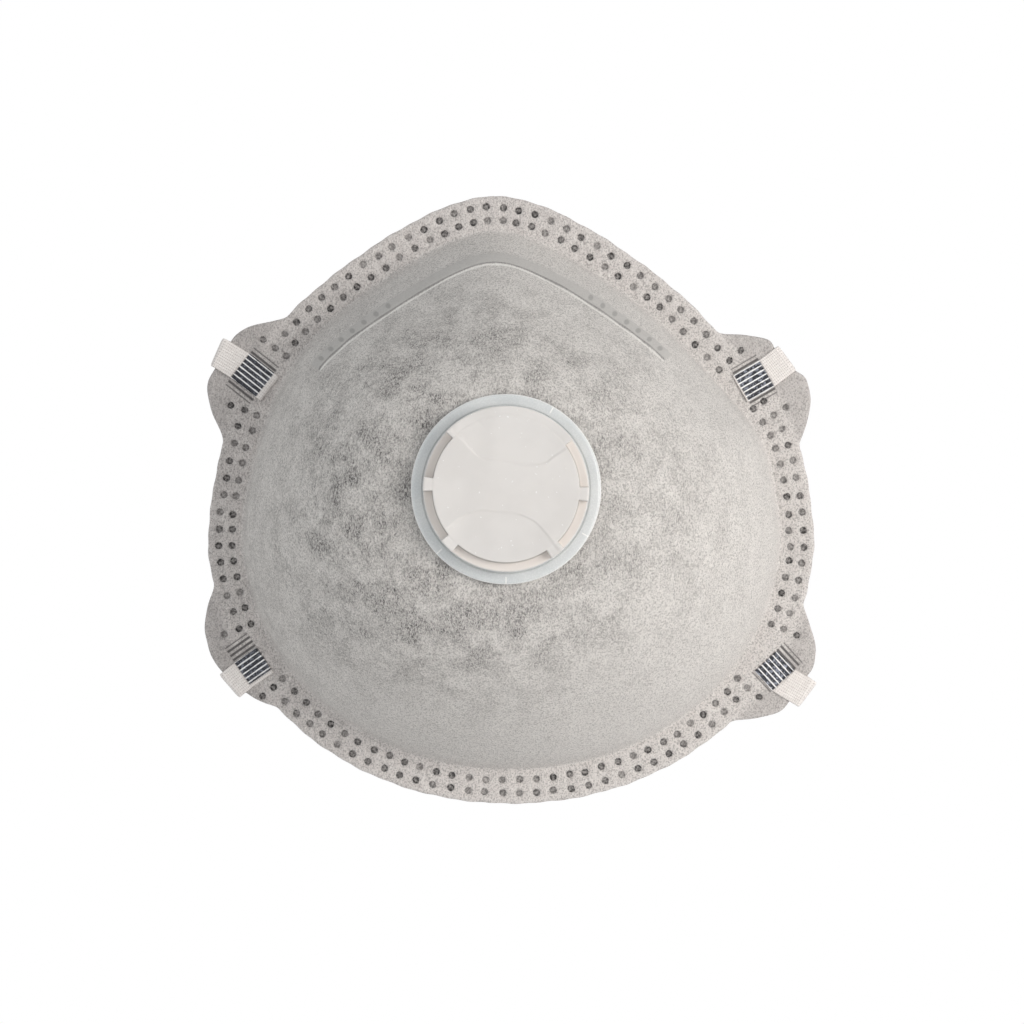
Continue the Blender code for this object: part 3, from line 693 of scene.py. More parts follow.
def cupStrip(name, part, profile, halfLength, middle, along):
    # A strip that follows the cup: its profile is (distance in from the foot, depth) around
    # its section, drawn in towards its middle at both rounded ends.
    arcs = middle + np.linspace(-halfLength, halfLength, along)
    base = fineSheet
    places = np.mod(arcs, rimLength) / rimLength * base["arcs"].shape[1]
    low = np.floor(places).astype(int) % base["arcs"].shape[1]
    high, blend = (low + 1) % base["arcs"].shape[1], (places % 1)[:, None, None]

    def columns(grid):
        grid = grid[..., None] if grid.ndim == 2 else grid
        chosen = np.swapaxes(grid, 0, 1)
        return chosen[low] * (1 - blend) + chosen[high] * blend

    points, normals = columns(base["points"]), columns(base["normals"])
    inward = columns(base["inward"])[..., 0]
    profile = np.asarray(profile)
    ended = 1 - np.abs(np.linspace(-1, 1, along))
    reach = np.clip(ended * halfLength / (part["width"] / 2), 0, 1)
    narrow = np.sqrt(np.clip(1 - (1 - reach) ** 2, 0.0, 1))[:, None]
    centre = part["start"] + part["width"] / 2
    across = centre + (profile[None, :, 0] - centre) * np.maximum(narrow, 0.04)
    order = np.arange(along)
    rings = np.zeros((along, len(profile), 3))
    for number in order:
        for axis in range(3):
            middleLine = np.interp(across[number], inward[number], points[number, :, axis])
            facing = np.interp(across[number], inward[number], normals[number, :, axis])
            rings[number, :, axis] = middleLine - facing * profile[:, 1]
    index = np.arange(along * len(profile)).reshape(along, len(profile))
    quads = gridQuads(index)
    count = len(index.ravel())
    ends = np.stack([rings[0].mean(axis=0), rings[-1].mean(axis=0)])
    first = np.stack([index[0], np.roll(index[0], -1), np.full(len(profile), count)], axis=-1)
    last = np.stack([np.roll(index[-1], -1), index[-1], np.full(len(profile), count + 1)], axis=-1)
    obj = addMesh(name, np.vstack([rings.reshape(-1, 3), ends]), quads, np.concatenate([first, last]))
    places = np.repeat(arcs - middle, len(profile))
    pointValues(obj, {"along": np.append(places, [0, 0]) / mm,
                      "across": np.append(across.ravel(), [0, 0]) / mm})
    faceOutwards(obj)
    return obj


def faceOutwards(obj):
    # Turns a closed mesh round if its volume comes out negative.
    mesh = obj.data
    mesh.calc_loop_triangles()
    faceCorners = np.zeros(len(mesh.loop_triangles) * 3, np.int32)
    mesh.loop_triangles.foreach_get("vertices", faceCorners)
    points = np.zeros(len(mesh.vertices) * 3, np.float32)
    mesh.vertices.foreach_get("co", points)
    triangle = points.reshape(-1, 3)[faceCorners.reshape(-1, 3)].astype(float)
    if np.linalg.det(triangle).sum() < 0:
        mesh.flip_normals()


def roundedBox(low, high, front, back, radius, steps=4):
    # A section with rounded corners between two distances and two depths.
    turns = np.linspace(0, math.pi / 2, steps)
    boxCorners = [((high - radius, back - radius), 0), ((low + radius, back - radius), 1),
                ((low + radius, front + radius), 2), ((high - radius, front + radius), 3)]
    section = []
    for (x, y), quarter in boxCorners:
        for turn in turns + quarter * math.pi / 2:
            section.append((x + radius * math.cos(turn), y + radius * math.sin(turn)))
    return np.array(section)


def makeClip():
    low, high = noseClip["start"], noseClip["start"] + noseClip["width"]
    front, back = noseClip["depth"], noseClip["depth"] + noseClip["thickness"]
    section = roundedBox(low, high, front, back, 0.2 * mm)
    obj = cupStrip("noseClip", noseClip, section, noseClip["halfLength"], noseBand["middle"], 180)
    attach(obj, "root")
    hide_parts("nose_clip")
    return obj


def makeFoam():
    low, high = noseFoam["start"], noseFoam["start"] + noseFoam["width"]
    front, back = noseFoam["depth"], noseFoam["depth"] + noseFoam["thickness"]
    corner = roundedBox(low, high, front, back, noseFoam["chamfer"])
    between = np.linspace(0, 1, 10)[1:-1, None]
    section = []
    for number in range(4):
        here, after = corner[number * 4 : number * 4 + 4], corner[(number * 4 + 4) % 16]
        section += [here, here[-1] + (after - here[-1]) * between]
    section = np.concatenate(section)
    obj = cupStrip("noseFoam", noseFoam, section, noseFoam["halfLength"], 0.5 * mm, 240)
    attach(obj, "root")
    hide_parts("nose_foam")
    return obj


clipPiece = makeClip()
foamPiece = makeFoam()
print("nose clip and foam made")


# Valve. Heights are off the cup's flat, towards the front.

valve = {
    "turn": -3.6,  # of the cap, in degrees
    "base": 19.2 * mm,
    "baseBack": 0.30 * mm,
    "baseFront": 1.60 * mm,
    "spigot": 15.0 * mm,
    "bore": 13.9 * mm,
    "spigotEnd": -4.7 * mm,
    "collar": (14.6 * mm, 15.6 * mm),
    "collarTop": 4.4 * mm,
    "seat": (11.3 * mm, 12.2 * mm),
    "seatTop": 2.6 * mm,
    "spoke": 1.4 * mm,
    "around": 288,
    "retainer": (15.3 * mm, 18.0 * mm, -3.5 * mm, -4.7 * mm),
    "flap": 12.8 * mm,
    "flapHinge": 9.2 * mm,
    "flapBack": 2.90 * mm,
    "flapFront": 3.30 * mm,
    "cover": 16.6 * mm,
    "coverFoot": 1.9 * mm,
    "coverInside": 15.9 * mm,
    "plateBack": 6.7 * mm,
    "coverFront": 7.8 * mm,
    "slot": 14.7 * mm,
    "slotDepth": 2.4 * mm,
    "slots": [(5, 40), (140, 175), (185, 222), (233, 307), (318, 355)],
}


def onValve(radius, turn, height):
    x = cup["valveX"] + radius * np.cos(turn)
    z = cup["valveZ"] + radius * np.sin(turn)
    return np.stack([x, -cup["depth"] - height, z], axis=-1)


def roundProfile(profile, radius=0.25 * mm, steps=4):
    # Rounds each corner of a closed outline, by no more than a third of its shorter side.
    p = np.asarray(profile, float)
    before, after = np.roll(p, 1, axis=0) - p, np.roll(p, -1, axis=0) - p
    sides = np.minimum(np.linalg.norm(before, axis=1), np.linalg.norm(after, axis=1))
    reach = np.minimum(radius, sides * 0.34)[:, None]
    t = np.linspace(0, 1, steps)[None, :, None]
    a = (p + unit(before) * reach)[:, None]
    c = (p + unit(after) * reach)[:, None]
    curve = (1 - t) ** 2 * a + 2 * t * (1 - t) * p[:, None] + t**2 * c
    return curve.reshape(-1, 2)


def ringOf(name, profile, count=None):
    # A closed outline of (radius, height) turned about the valve's axis.
    count = count or valve["around"]
    turns = np.arange(count) / count * 2 * math.pi
    radius = profile[:, 0][:, None] + 0 * turns
    height = profile[:, 1][:, None] + 0 * turns
    points = onValve(radius, turns[None, :], height)
    index = np.arange(points.shape[0] * count).reshape(points.shape[0], count)
    quads = gridQuads(np.vstack([index, index[:1]]))
    obj = addMesh(name, points.reshape(-1, 3), quads)
    pointValues(obj, {"radius": radius / mm, "height": height / mm,
                      "turn": np.broadcast_to(turns, radius.shape)})
    faceOutwards(obj)
    return obj


def makeBase():
    v, top = valve, valve["baseFront"]
    profile = [
        (v["collar"][0], v["collarTop"]), (v["collar"][1], v["collarTop"]),
        (v["collar"][1], top), (16.9 * mm, top), (17.1 * mm, top + 0.16 * mm),
        (18.7 * mm, top + 0.10 * mm), (v["base"], top - 0.35 * mm), (v["base"], v["baseBack"]),
        (v["spigot"], v["baseBack"]), (v["spigot"], v["spigotEnd"]), (v["bore"], v["spigotEnd"]),
        (v["bore"], v["baseBack"]), (v["seat"][0], v["baseBack"]), (v["seat"][0], v["seatTop"]),
        (v["seat"][1], v["seatTop"]), (v["seat"][1], top), (v["collar"][0], top),
    ]
    ring = ringOf("valveBase", roundProfile(profile, 0.22 * mm))
    spokes = makeSpokes()
    return joined([ring, *spokes])


def spokeGrid(along, across, low, high):
    # A bar with a rounded section between two heights.
    section = roundProfile([(-across / 2, low), (across / 2, low), (across / 2, high),
                            (-across / 2, high)], 0.25 * mm)
    places = np.linspace(-along / 2, along / 2, 40)
    return section, places


def makeSpokes():
    made = []
    reach = 2 * (valve["seat"][0] + 0.4 * mm)
    for number, step in enumerate((0.2 * mm, 0.4 * mm)):
        section, places = spokeGrid(reach, valve["spoke"], valve["baseBack"] + step / 2,
                                    valve["baseFront"] - step / 2)
        u = np.broadcast_to(places[:, None], (len(places), len(section)))
        w = np.broadcast_to(section[:, 0], u.shape)
        x, z = (u, w) if number == 0 else (w, u)
        y = -cup["depth"] - np.broadcast_to(section[:, 1], u.shape)
        points = np.stack([cup["valveX"] + x, y, cup["valveZ"] + z], axis=-1)
        index = np.arange(u.size).reshape(u.shape)
        count = u.size
        first = np.stack([index[0], np.roll(index[0], -1), np.full(len(section), count)], axis=-1)
        last = np.stack([np.roll(index[-1], -1), index[-1], np.full(len(section), count + 1)], -1)
        ends = np.stack([points[0].mean(axis=0), points[-1].mean(axis=0)])
        obj = addMesh(f"spoke{number}", np.vstack([points.reshape(-1, 3), ends]), gridQuads(index),
                      np.concatenate([first, last]))
        pointValues(obj, {"radius": np.zeros(count + 2), "height": np.zeros(count + 2),
                          "turn": np.zeros(count + 2)})
        faceOutwards(obj)
        made.append(obj)
    return made


def joined(objects):
    with bpy.context.temp_override(active_object=objects[0], object=objects[0],
                                   selected_objects=objects, selected_editable_objects=objects):
        bpy.ops.object.join()
    return objects[0]


def makeFlap():
    # A disc cut off straight along its hinge line, with a thicker bead round its edge.
    count, rings = 192, 20
    turns = np.arange(count) / count * 2 * math.pi
    hinge = valve["flapHinge"]
    share = np.linspace(0, 1, rings)[1:, None]
    limit = np.where(np.sin(turns) > 0, hinge / np.maximum(np.sin(turns), 1e-6), 1.0)
    edge = np.minimum(valve["flap"], limit)
    radius = edge * share
    bead = 0.10 * mm * np.exp(-(((edge - radius) - 0.7 * mm) / (0.45 * mm)) ** 2)
    wave = 0.05 * mm * np.exp(-((radius - 4.5 * mm) / (0.5 * mm)) ** 2)
    halves = []
    for side, level in ((1, valve["flapFront"]), (-1, valve["flapBack"])):
        height = level + (bead + wave if side > 0 else 0 * radius)
        middle, rest = onValve(0.0, 0.0, level)[None], onValve(radius, turns, height).reshape(-1, 3)
        halves.append(np.concatenate([middle, rest]))
    grid = 1 + np.arange(share.size * count).reshape(share.size, count)
    centre = np.stack([np.zeros(count, int), grid[0], np.roll(grid[0], -1)], axis=-1)
    size = len(halves[0])
    quads = np.concatenate([gridQuads(grid), gridQuads(grid)[:, ::-1] + size,
                            gridQuads(np.stack([grid[-1], grid[-1] + size]))])
    triangles = np.concatenate([centre[:, ::-1], centre + size])
    obj = addMesh("valveFlap", np.concatenate(halves), quads, triangles)
    faceOutwards(obj)
    return obj


# The cap's face: its creases, as (distance from its middle, height), and how its parts slope
capFace = {
    "upper": [(-14.7, 12.6), (-10.4, 10.0), (-7.1, 6.9), (-5.0, 5.6), (0.0, 5.1), (3.2, 4.8),
              (7.3, 5.4), (9.2, 6.9), (13.0, 9.7), (14.7, 11.2)],
    "lower": [(-14.7, -11.6), (-11.7, -8.9), (-9.3, -6.6), (-7.1, -5.2), (-4.4, -4.4), (0.0, -4.5),
              (3.2, -4.8), (6.0, -5.9), (8.1, -7.7), (9.5, -9.3), (12.5, -12.6)],
    "slope": 0.085,  # of the scoops, away from their creases
    "deepest": 0.75,
    "lip": 0.18,
}


def capHeight(x, z):
    # In mm below the cap's front: flat between the creases, then falling away in two scoops.
    upper, lower = (openSpline(capFace[side], 10) for side in ("upper", "lower"))
    above = z - np.interp(x, upper[:, 0], upper[:, 1])
    below = np.interp(x, lower[:, 0], lower[:, 1]) - z
    fall = 0
    for beyond in (above, below):
        start = np.clip(beyond, 0, None)
        sunk = capFace["lip"] * smoothStep(start, 0.0, 0.35) + capFace["slope"] * start
        fall = fall + np.minimum(sunk, capFace["deepest"])
    return fall


def makeCover():
    # Columns round the cap and rows from the middle of its face out over the edge, down the
    # wall, under its foot and back up inside. The slots are floors sunk into the edge rows.
    v = valve
    # Close columns either side of each slot's ends keep its corners sharp.
    angles = [np.linspace(0, 360, 361)[:-1]]
    for start, stop in v["slots"]:
        for end, way in ((start, 1), (stop, -1)):
            angles.append(np.array([end - 0.35 * way, end + 0.35 * way]))
    degrees = np.unique(np.round(np.concatenate(angles), 3))
    inSlot = np.zeros(len(degrees))
    for start, stop in v["slots"]:
        rising = smoothStep(degrees, start - 0.35, start + 0.35)
        inSlot = np.maximum(inSlot, rising * (1 - smoothStep(degrees, stop - 0.35, stop + 0.35)))
    count = len(degrees)
    face = np.linspace(0, v["slot"] - 0.12 * mm, 70)[1:]
    rim = v["slot"]
    outer = v["cover"]
    front, foot, plate = v["coverFront"], v["coverFoot"], v["plateBack"]
    floor = front - v["slotDepth"]
    # Each row is (radius, height, radius in a slot, height in a slot).
    rows = [(r, front, r, front) for r in face]
    rows += [
        (rim, front - 0.03 * mm, rim - 0.02 * mm, front - 0.10 * mm),
        (rim + 0.08 * mm, front - 0.04 * mm, rim, front - 0.25 * mm),
        (rim + 0.14 * mm, front - 0.04 * mm, rim, front - 1.2 * mm),
        (rim + 0.25 * mm, front - 0.04 * mm, rim, floor + 0.12 * mm),
        (rim + 0.40 * mm, front - 0.03 * mm, rim + 0.12 * mm, floor),
    ]
    rows += [(r, front - 0.02 * mm, r, floor) for r in np.linspace(rim + 0.6 * mm, outer - 0.35 * mm, 4)]
    rows += [
        (outer - 0.12 * mm, front - 0.06 * mm, outer - 0.14 * mm, floor - 0.02 * mm),
        (outer - 0.02 * mm, front - 0.18 * mm, outer - 0.03 * mm, floor - 0.08 * mm),
        (outer, front - 0.35 * mm, outer, floor - 0.20 * mm),
    ]
    rows += [(outer, h, outer, min(h, floor - 0.3 * mm))
             for h in np.linspace(front - 0.8 * mm, foot + 0.2 * mm, 8)]
    rows += [(outer - 0.06 * mm, foot, outer - 0.06 * mm, foot)]
    inside = v["coverInside"]
    rows += [(inside + 0.05 * mm, foot, inside + 0.05 * mm, foot),
             (inside, foot + 0.1 * mm, inside, foot + 0.1 * mm)]
    ceiling = floor - 0.7 * mm
    rows += [(inside, h, inside, min(h, ceiling))
             for h in np.linspace(foot + 0.4 * mm, plate - 0.05 * mm, 6)]
    inner = rim - 0.75 * mm
    rows += [(r, plate, r, ceiling) for r in np.linspace(inside - 0.1 * mm, inner + 0.1 * mm, 4)]
    rows += [(inner, plate, inner, ceiling + 0.1 * mm), (inner, plate, inner, plate - 0.1 * mm)]
    rows += [(r, plate, r, plate) for r in np.linspace(inner - 0.15 * mm, 0, 30)[:-1]]
    rows = np.array(rows)[:, :, None]
    share = inSlot[None, :]
    radius = rows[:, 0] + (rows[:, 2] - rows[:, 0]) * share
    height = rows[:, 1] + (rows[:, 3] - rows[:, 1]) * share
    turns = np.radians(degrees)[None, :]
    # Scoops in the face, running out over its edge.
    x, z = radius * np.cos(turns) / mm, radius * np.sin(turns) / mm
    isFace = np.arange(len(rows))[:, None] < len(face) + 20
    top = np.clip((height - front + 2.2 * mm) / (1.7 * mm), 0, 1)
    height = height - np.where(isFace, capHeight(x, z) * top * mm, 0)
    tilt = math.radians(v["turn"])
    points = onValve(radius, turns + tilt, height)
    index = 1 + np.arange(len(rows) * count).reshape(len(rows), count)
    last = index.max() + 1
    middleFront = onValve(0.0, 0.0, front - capHeight(0.0, 0.0) * mm)
    middleBack = onValve(0.0, 0.0, plate)
    fans = np.concatenate([
        np.stack([np.zeros(count, int), index[0], np.roll(index[0], -1)], axis=-1),
        np.stack([np.full(count, last), np.roll(index[-1], -1), index[-1]], axis=-1),
    ])
    allPoints = np.vstack([middleFront[None], points.reshape(-1, 3), middleBack[None]])
    obj = addMesh("valveCover", allPoints, gridQuads(index), fans)
    isFloor = (np.arange(len(rows))[:, None] >= len(face) + 4) & (radius < outer - 0.1 * mm)
    isFloor = isFloor & (np.arange(len(rows))[:, None] < len(face) + 9)

    def whole(values):
        values = np.broadcast_to(values, radius.shape)
        return np.concatenate([[values[0, 0]], values.ravel(), [values[-1, 0]]])

    pointValues(obj, {"slotFloor": whole(isFloor * share), "radius": whole(radius / mm),
                      "faceX": whole(x), "faceZ": whole(z), "isFace": whole(isFace * 1.0),
                      "inSlot": whole(share)})
    faceOutwards(obj)
    sharpen(obj, 32)
    return obj


def sharpen(obj, degrees):
    # Keeps edges that turn by more than this crisp.
    with bpy.context.temp_override(active_object=obj, object=obj, selected_objects=[obj],
                                   selected_editable_objects=[obj]):
        bpy.ops.object.shade_auto_smooth(angle=math.radians(degrees))
        for modifier in list(obj.modifiers):
            bpy.ops.object.modifier_apply(modifier=modifier.name)


valvePieces = {
    "valveBase": (makeBase(), "valve_base", "base_plastic", "root"),
    "valveRetainer": (None, "valve_retainer", "retainer_plastic", "root"),
    "valveFlap": (makeFlap(), "valve_flap", "silicone", "valve_flap"),
    "valveCover": (makeCover(), "valve_cover", "cover_plastic", "root"),
}


def makeRetainer():
    inner, outer, front, back = valve["retainer"]
    profile = [(inner, front), (outer, front), (outer, back + 0.4 * mm),
               (outer - 0.4 * mm, back), (inner, back)]
    return ringOf("valveRetainer", roundProfile(profile, 0.2 * mm))


valvePieces["valveRetainer"] = (makeRetainer(), *valvePieces["valveRetainer"][1:])
for obj, node, slotName, body in valvePieces.values():
    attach(obj, body)
    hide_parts(node)
print("valve made")


# Straps and headbands

strap = {
    "width": 6.6 * mm,
    "thickness": 0.8 * mm,
    "gap": 0.3 * mm,
    "tuck": 1.2 * mm,
    "past": 1.0 * mm,  # from the end of its flat part to the outside of its fold
    "behind": 2.3 * mm,  # depth of its middle just behind the edge
    "lead": 4.5 * mm,
    "step": 4.0 * mm,
    "stack": 3.2 * mm,  # of all the layers
    "pitch": 1.05 * mm,
    "ribHeight": 0.30 * mm,
}
# Half of each band, from the wearer's side at +X: x in half widths of the rim, depth behind
# the tab's back, and height.
bandShapes = {
    "upper": [(0.807, 1.4, 20.5), (0.755, 2.6, 10.5), (0.685, 3.5, -3.0), (0.594, 3.9, -16.5),
              (0.472, 4.0, -29.0), (0.327, 4.0, -38.5), (0.167, 4.0, -43.8), (0.0, 4.0, -45.5)],
    "lower": [(0.761, 1.5, -38.4), (0.670, 2.5, -43.0), (0.548, 3.1, -49.5), (0.396, 3.4, -54.8),
              (0.205, 3.4, -58.2), (0.0, 3.4, -59.3)],
}


def strapWay(corner):
    # The way a strap leaves its tab, in the plane of the rim.
    turn = math.radians(corners[corner]["strap"])
    return np.array([math.cos(turn), math.sin(turn)])


def rimDepth(spot):
    return cup["sweep"] * (spot[..., 0] / cup["halfWidth"]) ** 2


def strapBack(corner):
    # The end of a strap behind its tab.
    fold = np.array(corners[corner]["fold"]) * mm
    spot = fold - strapWay(corner) * (strap["past"] + strap["tuck"])
    return np.array([spot[0], rimDepth(fold) + strap["behind"] + 0.5 * mm, spot[1]])


def evenly(line, step):
    # Points at equal steps along a line.
    total = np.concatenate([[0], np.cumsum(np.linalg.norm(np.diff(line, axis=0), axis=1))])
    places = np.linspace(0, total[-1], round(total[-1] / step) + 1)
    return np.stack([np.interp(places, total, line[:, k]) for k in range(line.shape[1])], axis=1)


def bandRoute(name):
    first, last = strapBack(name + "_right"), strapBack(name + "_left")
    ways = [strapWay(name + side) for side in ("_right", "_left")]
    inward = [np.array([-way[0], 0, -way[1]]) for way in ways]
    first, last = first + inward[0] * strap["gap"], last + inward[1] * strap["gap"]
    leads = first + inward[0] * strap["lead"], last + inward[1] * strap["lead"]
    half = bandShapes[name]
    sunk = strap["stack"] + strap["gap"] + strap["thickness"] / 2 - strap["behind"] - 0.5 * mm
    right = [(x * cup["halfWidth"], first[1] + sunk + back * mm, z * mm) for x, back, z in half]
    left = [(-x * cup["halfWidth"], last[1] + sunk + back * mm, z * mm) for x, back, z in half[-2::-1]]
    return evenly(openSpline([first, leads[0], *right, *left, leads[1], last]), strap["step"])


def ribbonSection(count=28):
    # Across a knitted strap: flat, with rounded edges. Returns places across it and through it,
    # each from -1 to 1.
    turns = np.arange(count) / count * 2 * math.pi
    x = np.sign(np.cos(turns)) * np.abs(np.cos(turns)) ** 0.30
    y = np.sign(np.sin(turns)) * np.abs(np.sin(turns)) ** 0.62
    return x, y


def ribbonMesh(name, route, across, width, thickness, endsRound=True, section=96):
    # A flat strap along a route, with its width turned the way given at each point.
    x, y = ribbonSection(section)
    ahead = unit(np.gradient(route, axis=0))
    across = unit(across - ahead * np.sum(across * ahead, axis=1, keepdims=True))
    through = np.cross(ahead, across)
    w = np.asarray(width) / 2 * np.ones(len(route))
    t = np.asarray(thickness) / 2 * np.ones(len(route))
    if endsRound:
        order = np.arange(len(route))
        t = t * np.sqrt(np.clip(np.minimum(order, order[::-1]) / 2, 0.35, 1))
    points = (route[:, None] + across[:, None] * (w[:, None] * x)[..., None]
              + through[:, None] * (t[:, None] * y)[..., None])
    index = np.arange(points.shape[0] * section).reshape(points.shape[0], section)
    count = index.size
    ends = np.stack([route[0], route[-1]])
    first = np.stack([index[0], np.roll(index[0], -1), np.full(section, count)], axis=-1)
    last = np.stack([np.roll(index[-1], -1), index[-1], np.full(section, count + 1)], axis=-1)
    obj = addMesh(name, np.vstack([points.reshape(-1, 3), ends]), gridQuads(index),
                  np.concatenate([first, last]))
    total = np.concatenate([[0], np.cumsum(np.linalg.norm(np.diff(route, axis=0), axis=1))])
    along = np.repeat(total, section)
    side = (w[:, None] * x).ravel()
    pointValues(obj, {
        "along": np.append(along, [0, total[-1]]) / mm,
        "across": np.append(side, [0, 0]) / mm,
    })
    faceOutwards(obj)
    return obj


def makeBand(name):
    route = bandRoute(name)
    fine = evenly(openSpline(route, 8), 0.6 * mm)
    share = np.linspace(0, 1, len(fine))
    twist = smoothStep(share, 0, 0.2) * smoothStep(1 - share, 0, 0.2) * math.pi / 2
    ahead = unit(np.gradient(fine, axis=0))
    flat = unit(np.cross(ahead, (0.0, 1.0, 0.0)))
    across = flat * np.cos(twist)[:, None] + np.array([0, 1, 0]) * np.sin(twist)[:, None]
    obj = ribbonMesh(name + "Headband", fine, across, strap["width"], strap["thickness"], section=32)
    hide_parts("headband_" + name)
    return obj


upperBand = makeBand("upper")
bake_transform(upperBand)
lowerBand = makeBand("lower")
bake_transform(lowerBand)
print("headbands made")


def strapLine(corner):
    # In the plane of the rim: from the weld's inner end along its ribs, then round to the way
    # the strap leaves, to the fold.
    data = corners[corner]
    way = strapWay(corner)
    rib = np.array([math.cos(math.radians(data["ribTurn"])), math.sin(math.radians(data["ribTurn"]))])
    rib = rib if rib @ way > 0 else -rib
    pad, fold = np.array(data["onStrap"]) * mm, np.array(data["fold"]) * mm
    half = data["ribLength"] * mm / 2
    inner = pad - rib * (half + data["tail"] * mm)
    turn = fold - way * strap["past"]
    return np.array([inner, pad, pad + rib * half * 0.8, turn]), fold, way


def makeStrapEnd(corner):
    # Over the tab's edge, tight round it, and in again behind it.
    line, fold, way = strapLine(corner)
    flat = evenly(openSpline(line, 8), 0.4 * mm)
    front = strap["thickness"] / 2 - 0.12 * mm
    behind = strap["behind"]
    edgeDepth = rimDepth(fold)
    points = [(spot[0], rimDepth(spot) - front, spot[1]) for spot in flat]
    reach, half = strap["past"] - strap["thickness"] / 2, (front + behind) / 2
    for turn in np.radians(np.linspace(20, 160, 8)):
        spot = flat[-1] + way * reach * math.sin(turn)
        points.append((spot[0], edgeDepth + (behind - front) / 2 - half * math.cos(turn), spot[1]))
    last = strapBack(corner)
    points.append((flat[-1][0], edgeDepth + behind, flat[-1][1]))
    points.append(tuple(last))
    heading = np.tile(way, (len(points), 1))
    heading[: len(flat)] = unit(np.gradient(flat, axis=0))
    both = openSpline(np.hstack([points, heading * mm]), 6)
    total = np.concatenate([[0], np.cumsum(np.linalg.norm(np.diff(both[:, :3], axis=0), axis=1))])
    places = np.linspace(0, total[-1], round(total[-1] / (0.16 * mm)) + 1)
    both = np.stack([np.interp(places, total, both[:, k]) for k in range(5)], axis=1)
    route, heading = both[:, :3], unit(both[:, 3:])
    across = np.stack([-heading[:, 1], 0 * heading[:, 0], heading[:, 0]], axis=1)
    obj = ribbonMesh("strapEnd" + corner.title().replace("_", ""), route, across,
                     strap["width"], strap["thickness"], section=112)
    # The welding tool's ribs press valleys through the strap's front.
    mesh = obj.data
    points = np.zeros(len(mesh.vertices) * 3, np.float32)
    mesh.vertices.foreach_get("co", points)
    points = points.reshape(-1, 3).astype(float)
    along, across, inside = padPlace(points, corner)
    skin = rimDepth(points[:, [0, 2]])
    isFront = (points[:, 1] < skin + 0.3 * mm) & (inside > 0)
    rib = ribShape(across)
    squash = smoothStep(inside, 0, 0.35 * mm) * isFront
    flatFront = skin - 0.14 * mm - rib * strap["ribHeight"]
    lift = points[:, 1] < skin - 0.15 * mm
    points[:, 1] = np.where(lift, points[:, 1] * (1 - squash) + flatFront * squash, points[:, 1])
    mesh.vertices.foreach_set("co", points.astype(np.float32).ravel())
    mesh.update()
    # bright carries how strong the painted glints on this weld are.
    pointValues(obj, {"padAcross": across / mm, "padAlong": along / mm,
                      "padInside": np.where(isFront, inside, -1 * mm) / mm,
                      "bright": np.full(len(points), corners[corner]["bright"])})
    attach(obj, "root")
    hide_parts("strap_end_" + corner)
    return obj


def ribShape(across):
    # Narrow ridges between wide valleys: a cosine raised to a power.
    return (0.5 + 0.5 * np.cos(across * 2 * math.pi / strap["pitch"])) ** 2.5


def padPlace(points, corner):
    # Along and across the pad's ribs from its middle, and how far inside its outline.
    data = corners[corner]
    turn = math.radians(data["ribTurn"])
    dx = points[:, 0] - data["pad"][0] * mm
    dz = points[:, 2] - data["pad"][1] * mm
    along = dx * math.cos(turn) + dz * math.sin(turn)
    across = -dx * math.sin(turn) + dz * math.cos(turn)
    inside = np.minimum(data["ribLength"] * mm / 2 - np.abs(along),
                        data["across"] * mm / 2 - np.abs(across))
    return along, across, inside


strapEnds = {corner: makeStrapEnd(corner) for corner in corners}
print("strap ends made")


# Materials


def linear(*colour):
    # A display colour from 0 to 255 as the light it stands for.
    c = np.array(colour) / 255
    return (*np.where(c <= 0.04045, c / 12.92, ((c + 0.055) / 1.055) ** 2.4), 1.0)


